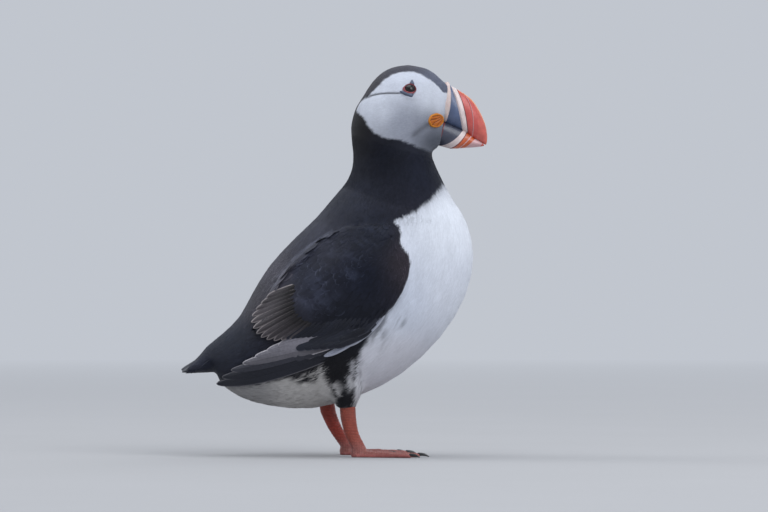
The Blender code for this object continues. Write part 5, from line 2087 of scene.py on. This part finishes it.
class EyeSpot(NamedTuple):
    """Where an eye sits: its place, its outward normal, and the forward and upward directions across it."""

    place: Array
    out: Array
    ahead: Array
    up: Array


@dataclass
class Eye:
    """Eyeball, red lid ring and the two horny plates of each side."""

    place: Place = (47.1, 227.2)
    radius: float = 4.6
    proud: float = 1.35
    lift: float = 0.15
    lid_out: Tuple[float, ...] = (3.85, 3.85, 3.85, 3.50, 3.50, 4.60, 4.20, 3.60, 3.90, 3.60)
    lid_in: Tuple[float, ...] = (3.28, 3.02, 2.62, 2.60, 2.98, 3.28, 3.02, 2.62, 2.62, 2.98)
    lid_height: float = 0.40
    lid_around: int = 72
    lid_section: int = 12
    skirt: float = 0.35
    plates: Dict[str, Tuple[Tuple[Place, ...], float]] = field(default_factory=lambda: {
        "upper": (((-0.35, 3.7), (0.2, 5.0), (0.75, 6.3), (1.35, 6.8), (1.85, 6.1), (2.3, 4.8), (2.6, 3.3),
                   (1.2, 3.2)), 0.95),
        "lower": (((-6.5, -1.7), (-4.6, -2.0), (-2.6, -2.8), (-0.6, -3.5), (1.0, -3.7), (2.2, -3.3),
                   (2.0, -4.5), (1.2, -5.5), (-0.6, -5.2), (-2.6, -4.6), (-4.8, -3.6), (-6.2, -2.6)), 0.85)})
    red: Array = field(default_factory=lambda: np.array((0.17, 0.014, 0.024)))
    # pink: colour of the lid ring's painted highlight
    pink: Array = field(default_factory=lambda: np.array((0.42, 0.095, 0.115)))
    white: Array = field(default_factory=lambda: np.array((0.56, 0.57, 0.63)))

    def spot_on(self, body: BodySurface, side: float) -> EyeSpot:
        """Where the eye sits.

        Args:
            body: The head's surface.
            side: -1 for the right side, 1 for the left.

        Returns:
            The place and its directions.
        """
        hits, lies = [], []
        for df, dz in ((0.0, 0.0), (3.0, 0.0), (-3.0, 0.0), (0.0, 3.0), (0.0, -3.0)):
            origin = Vector((side * 0.04, -(self.place[0] + df) * MM, (self.place[1] + dz) * MM))
            hit, normal, _, _ = body.tree.ray_cast(origin, Vector((-side, 0.0, 0.0)), 0.1)
            hits.append(np.array(hit))
            lies.append(np.array(normal))
        out = unit(np.mean(lies, axis=0)[None])[0]
        ahead = np.array([0.0, -1.0, 0.0])
        ahead = unit((ahead - out * (ahead @ out))[None])[0]
        up = np.cross(out, ahead) * side
        up = up if up[2] > 0 else -up
        return EyeSpot(hits[0], out, ahead, up)

    def ball(self, spot: EyeSpot, label: str, finish: Material) -> None:
        """Builds the eyeball with its slightly bulging cornea."""
        place, out, ahead, up = spot
        centre = place - out * (self.radius - self.proud) * MM
        polar = np.linspace(0.02, math.pi - 0.02, 40)
        turn = np.linspace(0.0, 2.0 * math.pi, 56, endpoint=False)
        p, a = np.meshgrid(polar, turn, indexing="ij")
        bulge = self.radius + 0.16 * np.exp(-(p / 0.45) ** 2)
        ring = (np.cos(p) * bulge)[..., None] * out + (np.sin(p) * np.cos(a) * bulge)[..., None] * ahead
        ring = ring + (np.sin(p) * np.sin(a) * bulge)[..., None] * up
        points, faces = closed_loft(centre + ring * MM)
        lay = np.zeros((len(points), 3))
        lay[:, 0] = np.concatenate([(np.sin(p) + (p > 1.57)).ravel(), [0.0, 1.0]])
        piece = MeshParts(f"eyeball_{label}", points, faces, vectors={"lay": lay}, sharp_angle=ALL_SMOOTH)
        settle(piece, finish, [f"eye_{label}"])

    def lid(self, spot: EyeSpot, label: str, finish: Material) -> None:
        """Builds the bare red ring, drawn out to a corner behind the eye."""
        place, out, ahead, up = spot
        turn = np.linspace(0.0, 2.0 * math.pi, self.lid_around, endpoint=False)
        knots = len(self.lid_out)
        closed = np.array([self.lid_out + self.lid_out[:3], self.lid_in + self.lid_in[:3]]).T
        radii = curve_through(closed, turn / (2.0 * math.pi) * knots)
        section = np.linspace(0.0, 2.0 * math.pi, self.lid_section, endpoint=False)
        rings, tones = [], []
        for k in section:
            share = 0.5 - 0.5 * math.cos(k)
            radius = radii[:, 1] * (1.0 - share) + radii[:, 0] * share
            ball = np.sqrt(self.radius ** 2 - radii[:, 1] ** 2) - (self.radius - self.proud)
            radius = radius + self.skirt * share ** 4
            height = np.maximum(ball, 0.0) * (1.0 - share) - 1.1 * share ** 6 + self.lid_height * math.sin(k)
            # painted highlight: the ring turns pink below and behind the eye, where light catches it
            lid_highlight = (0.5 - 0.5 * np.cos(turn - math.radians(60.0)))[:, None] ** 2
            tone = self.red + (self.pink - self.red) * lid_highlight
            tones.append(tone + (self.white - tone) * smoothstep(0.80, 0.96, np.array([share]))[0])
            flat = (radius * np.cos(turn))[:, None] * ahead + (radius * np.sin(turn))[:, None] * up
            rings.append(place + (flat + out * height[:, None]) * MM)
        points = columns(*rings).reshape(-1, 3)
        i, j = np.meshgrid(np.arange(self.lid_around), np.arange(self.lid_section), indexing="ij")
        n, m = (i + 1) % self.lid_around, (j + 1) % self.lid_section
        a, b, c, d = (row * self.lid_section + column for row, column in ((i, j), (n, j), (n, m), (i, m)))
        quads = np.stack([a, b, c, d], axis=-1).reshape(-1, 4)
        faces = facing_out(points - place, np.vstack([quads[:, [0, 1, 2]], quads[:, [0, 2, 3]]]))
        tint = columns(*tones).reshape(-1, 3)
        piece = MeshParts(f"lid_ring_{label}", points, faces, {"tint": tint}, sharp_angle=ALL_SMOOTH)
        settle(piece, finish, [f"eye_ring_{label}"])

    def plate(self, kind: str, spot: EyeSpot, label: str, body: BodySurface,
              finish: Material) -> None:
        """Builds one horny plate from its outline round the eye's centre.

        Args:
            kind: Upper or lower.
            spot: Where the eye sits.
            label: Which side of the bird.
            body: The head's surface.
            finish: Its material.
        """
        outline, height = self.plates[kind]
        corners = np.array(outline, float)
        knots = np.vstack([corners, corners[:3]])
        edge = curve_through(knots, np.linspace(0.0, len(corners), 36, endpoint=False) + 1.0)
        middle = edge.mean(axis=0)
        rings = []
        for share, level in ((1.0, -0.9), (1.0, 0.25), (0.92, 0.62), (0.72, 0.88), (0.40, 1.0), (0.05, 1.04)):
            inset = middle + (edge - middle) * share
            flat = spot.place + (inset[:, :1] * spot.ahead + inset[:, 1:] * spot.up) * MM
            rings.append(body.nearest(flat)[0] + spot.out * (height * level + 0.15) * MM)
        points, faces = closed_loft(np.array(rings))
        piece = MeshParts(f"plate_{kind}_{label}", points, faces, sharp_angle=70.0)
        settle(piece, finish, [f"eye_plate_{kind}_{label}"])

    def build(self, body: BodySurface, wet: Material, red: Material,
              horn: Material) -> None:
        """Builds both eyes.

        Args:
            body: The head's surface.
            wet: The eyeball's finish.
            red: The lid ring's finish.
            horn: The plates' finish.
        """
        for label, side in SIDES.items():
            spot = self.spot_on(body, side)
            raised = spot._replace(place=spot.place + spot.out * self.lift * MM)
            self.ball(raised, label, wet)
            self.lid(raised, label, red)
            for kind in self.plates:
                self.plate(kind, spot, label, body, horn)


# ---------------------------------------------------------------- legs

@dataclass
class Leg:
    """Bare shank and webbed foot, remeshed as one skin and covered with scutes."""

    voxel: float = 0.45 * MM
    smoothing: int = 5
    reach_up: float = 6.0 * MM
    swell: float = 0.25 * MM
    shank_tints: Dict[str, Colour] = field(default_factory=lambda: {
        "right": (0.40, 0.080, 0.050), "left": (0.44, 0.055, 0.035)})
    web_tint: Colour = (0.44, 0.14, 0.13)
    toe_tint: Colour = (0.45, 0.18, 0.16)
    dark_tint: Colour = (0.17, 0.05, 0.035)

    def build(self, finish: Material) -> None:
        """Builds the skin of both legs."""
        for label in SIDES:
            made = remeshed((f"leg_{label}", f"foot_{label}"), self._shape, self.voxel)
            self.dress(made, label, finish)
            bpy.data.meshes.remove(made)

    def _shape(self, name: str, part: bmesh.types.BMesh) -> None:
        """Swells a node a little and runs the shank up into the plumage."""
        top = max(vert.co.z for vert in part.verts)
        for vert in part.verts:
            high = vert.co.z > top - 1.5 * MM
            vert.co += vert.normal * self.swell
            if high and name.startswith("leg"):
                vert.co.z += self.reach_up

    def dress(self, mesh: Mesh, label: str, finish: Material) -> None:
        """Smooths the skin, raises its scutes and colours it."""
        near, points = Neighbours(mesh), read(mesh.vertices, "co", 3)
        for _ in range(self.smoothing):
            points = near.evened(points, 0.5)
        mesh.vertices.foreach_set("co", points.ravel())
        mesh.update()
        normals = read(mesh.vertices, "normal", 3)
        height = points[:, 2] / MM
        forward = -points[:, 1] / MM
        shank = smoothstep(4.5, 8.0, height)
        waver = 1.4 * hashed_noise(points / MM, 2.2, 31) * 3.0
        bands = 0.5 + 0.5 * np.sin(height * 2.0 * math.pi / 1.7 + waver)
        toes = 0.5 + 0.5 * np.sin(forward * 2.0 * math.pi / 1.5 + 2.0 * hashed_noise(points / MM, 3.0, 33))
        high = smoothstep(1.9, 3.2, height) * (1.0 - shank)
        push = 0.16 * bands * shank + 0.13 * toes * high
        web = (1.0 - smoothstep(1.6, 2.4, height)) * smoothstep(0.5, 0.9, normals[:, 2])
        push = push + 0.10 * web * hashed_noise(points / MM, 1.3, 35) - 0.2
        points = points + normals * (push * MM)[:, None]
        points[:, 2] = np.maximum(points[:, 2], 0.0)
        skin, web_tint, toe_tint, dark = (np.array(tone) for tone in (
            self.shank_tints[label], self.web_tint, self.toe_tint, self.dark_tint))
        hue, toe = smoothstep(2.6, 13.0, height), smoothstep(1.4, 2.6, height)
        tint = skin[None] * (0.8 + 0.3 * bands[:, None]) * hue[:, None]
        tint = tint + toe_tint[None] * (0.8 + 0.3 * toes[:, None]) * ((1.0 - hue) * toe)[:, None]
        tint = tint + web_tint[None] * ((1.0 - hue) * (1.0 - toe))[:, None]
        top = smoothstep(20.0, 29.0, height)[:, None] * hashed_noise(points / MM, 1.5, 37)[:, None]
        tint = tint * (1.0 - 0.55 * top) + dark * 0.55 * top
        piece = MeshParts(f"leg_skin_{label}", points, triangles(mesh), {"tint": tint},
                          sharp_angle=ALL_SMOOTH)
        settle(piece, finish, [f"leg_{label}", f"foot_{label}"])


@dataclass
class Claws:
    """Curved black claws on every toe."""

    rings: int = 20
    around: int = 20
    buried: float = 0.35

    def build(self, finish: Material) -> None:
        """Builds each claw over its CAD node."""
        for label in SIDES:
            for toe in ("inner", "middle", "outer"):
                node = f"claw_{toe}_{label}"
                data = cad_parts[node].data
                points = np.array([vert.co for vert in data.vertices]) / MM
                root = points[points[:, 1] > points[:, 1].max() - 1.6].mean(axis=0)
                tip = points[points[:, 1] < points[:, 1].min() + 0.3].mean(axis=0)
                line = tip - root
                flat = unit(np.array([[line[0], line[1], 0.0]]))[0]
                across = np.array([-flat[1], flat[0], 0.0])
                up = np.array([0.0, 0.0, 1.0])
                t = np.linspace(-self.buried, 1.0, self.rings)
                turn = np.linspace(0.0, 2.0 * math.pi, self.around, endpoint=False)
                rings = []
                for share in t:
                    rise = 0.9 * math.sin(math.pi * min(1.0, max(0.0, share))) * 0.5
                    centre = root + line * share + up * rise
                    size = 1.18 * math.sqrt(max(0.004, 1.0 - max(0.0, share) ** 1.4))
                    size *= math.sqrt(max(0.03, 1.0 - (min(0.0, share) / self.buried) ** 2))
                    ring = centre + (np.cos(turn) * size * 0.80)[:, None] * across
                    lower = np.where(np.sin(turn) > 0, 1.0, 0.75)
                    rings.append(ring + (np.sin(turn) * size * lower)[:, None] * up)
                rings = np.array(rings) * MM
                rings[:, :, 2] = np.maximum(rings[:, :, 2], 0.00005)
                made, faces = closed_loft(rings)
                piece = MeshParts(f"claw_horn_{toe}_{label}", made, faces, sharp_angle=60.0)
                settle(piece, finish, [node])


# ---------------------------------------------------------------- studio

@dataclass
class Studio:
    """Pale floor, soft light and the camera."""

    aim: Tuple[float, float, float] = (0.0, -0.031, 0.124)
    width: float = 0.476
    distance: float = 4.2
    lift: float = 0.02
    sensor: float = 36.0
    floor: float = 12.0
    light: Colour = (0.94, 0.97, 1.0)
    lit: Tuple[float, float, float] = (0.0, 0.0, 0.12)
    lamps: Tuple[Tuple[str, Tuple[float, float, float], float, float], ...] = (
        ("key", (-1.5, -1.3, 1.7), 1.6, 32.0), ("top", (-0.1, 0.2, 2.4), 2.0, 22.0),
        ("fill", (1.6, -1.2, 1.2), 1.8, 9.5), ("rim", (0.6, 1.8, 1.4), 1.2, 14.0))

    @staticmethod
    def turned(spot: Sequence[float], aim: Sequence[float]) -> Euler:
        """The turn of a lamp or camera that stands at a spot and looks at its aim."""
        return (Vector(aim) - Vector(spot)).to_track_quat("-Z", "Y").to_euler()

    def build(self) -> None:
        """Sets up the floor, lights, world and camera."""
        mesh = bpy.data.meshes.new("floor")
        edge = self.floor
        mesh.from_pydata([(-edge, -edge, 0), (edge, -edge, 0), (edge, edge, 0), (-edge, edge, 0)], [],
                         [(0, 1, 2, 3)])
        floor = placed("floor", mesh)
        paint = StudioFinish()
        floor.data.materials.append(paint.make())
        for name, spot, size, power in self.lamps:
            light = bpy.data.lights.new(name, "AREA")
            light.size = size
            light.energy = power
            light.color = self.light
            lamp = placed(name, light)
            lamp.location = spot
            lamp.rotation_euler = self.turned(spot, self.lit)
        world = bpy.data.worlds.new("studio")
        world.use_nodes = True
        backdrop = world.node_tree.nodes["Background"]
        backdrop.inputs[0].default_value = (*paint.backdrop, 1.0)
        backdrop.inputs[1].default_value = paint.glow
        bpy.context.scene.world = world
        camera = bpy.data.cameras.new("camera")
        camera.sensor_width = self.sensor
        camera.lens = self.sensor * self.distance / self.width
        camera.clip_end = 100.0
        eye = placed("camera", camera)
        eye.location = (-self.distance, self.aim[1], self.aim[2] + self.lift)
        eye.rotation_euler = self.turned(eye.location, self.aim)
        bpy.context.scene.camera = eye
        bpy.context.scene.view_settings.view_transform = "Standard"


# ---------------------------------------------------------------- the bird

def main() -> None:
    """Builds the bird piece by piece."""
    logging.basicConfig(level=logging.INFO, format="%(message)s")
    Studio().build()
    body = BodySurface()
    body.build()
    markings = Markings()
    spine = Spine()
    finishes: Dict[str, Material] = {
        "soft": PlumageFinish("white_plumage", fringe=0.0, root_shade=0.10, shaft=0.03, variety=0.05,
                              sheen=0.10, specular=0.15, barb_depth=0.25).make(),
        "velvet": PlumageFinish("neck_plumage", fringe=0.25, root_shade=0.35, shaft=0.05, roughness=0.55,
                                sheen=0.02, specular=0.12).make(),
        "dark": PlumageFinish("dark_plumage", barbs=22.0, fringe=0.6, root_shade=0.35, shaft=0.12,
                              roughness=0.5, sheen=0.05, specular=0.13).make(),
        "long": PlumageFinish("flight_plumage", barbs=60.0, fringe=0.55, root_shade=0.2, shaft=0.3,
                              roughness=0.48, sheen=0.04, specular=0.28).make(),
        "worn": PlumageFinish("worn_plumage", barbs=60.0, fringe=0.9, root_shade=0.70, shaft=0.35,
                              variety=0.25, roughness=0.55, sheen=0.05, specular=0.22).make(),
    }
    Underskin(body, markings).build(UnderskinFinish("underskin").make())
    coat = Coat(body, spine, markings)
    for part in CoatPlan(coat).parts():
        coat.grow(part, finishes[part.finish])
    chart = WingChart(node_tree("wing_right", "primaries_right"), WING_OUTLINE + WING_FEATHER_ENDS)
    WingFeathers(chart).build(finishes["long"], finishes["worn"])
    TailFeathers().build(finishes["long"])
    Bill().build(HornFinish("bill_horn").make(),
                 FleshFinish("strip_flesh", None, (0.50, 0.38, 0.33), 2800.0, 0.45, 0.0001, 0.5, 0.1).make())
    Rosette().build(
        body, FleshFinish("rosette_flesh", None, (0.35, 0.09, 0.005), 1500.0, 0.4, 0.00012, 0.42).make())
    Eye().build(body, EyeFinish("eye_wet").make(),
                FleshFinish("lid_flesh", None, (0.12, 0.01, 0.015), 5200.0, 0.25, 0.00004, 0.38).make(),
                HornFinish("plate_horn", (0.075, 0.095, 0.150), 0.42, 0.3, 1400.0, 0.1,
                           (0.3, 0.34, 0.42)).make())
    Leg().build(FleshFinish("leg_flesh", None, (0.16, 0.03, 0.02), 1100.0, 0.7, 0.00022, 0.42, 0.1,
                            (1.0, 1.0, 1.6)).make())
    Claws().build(HornFinish("claw_horn", (0.012, 0.012, 0.014), 0.25, 0.3, 1400.0, 0.3,
                             (0.12, 0.11, 0.11)).make())


if __name__ == "__main__":
    main()
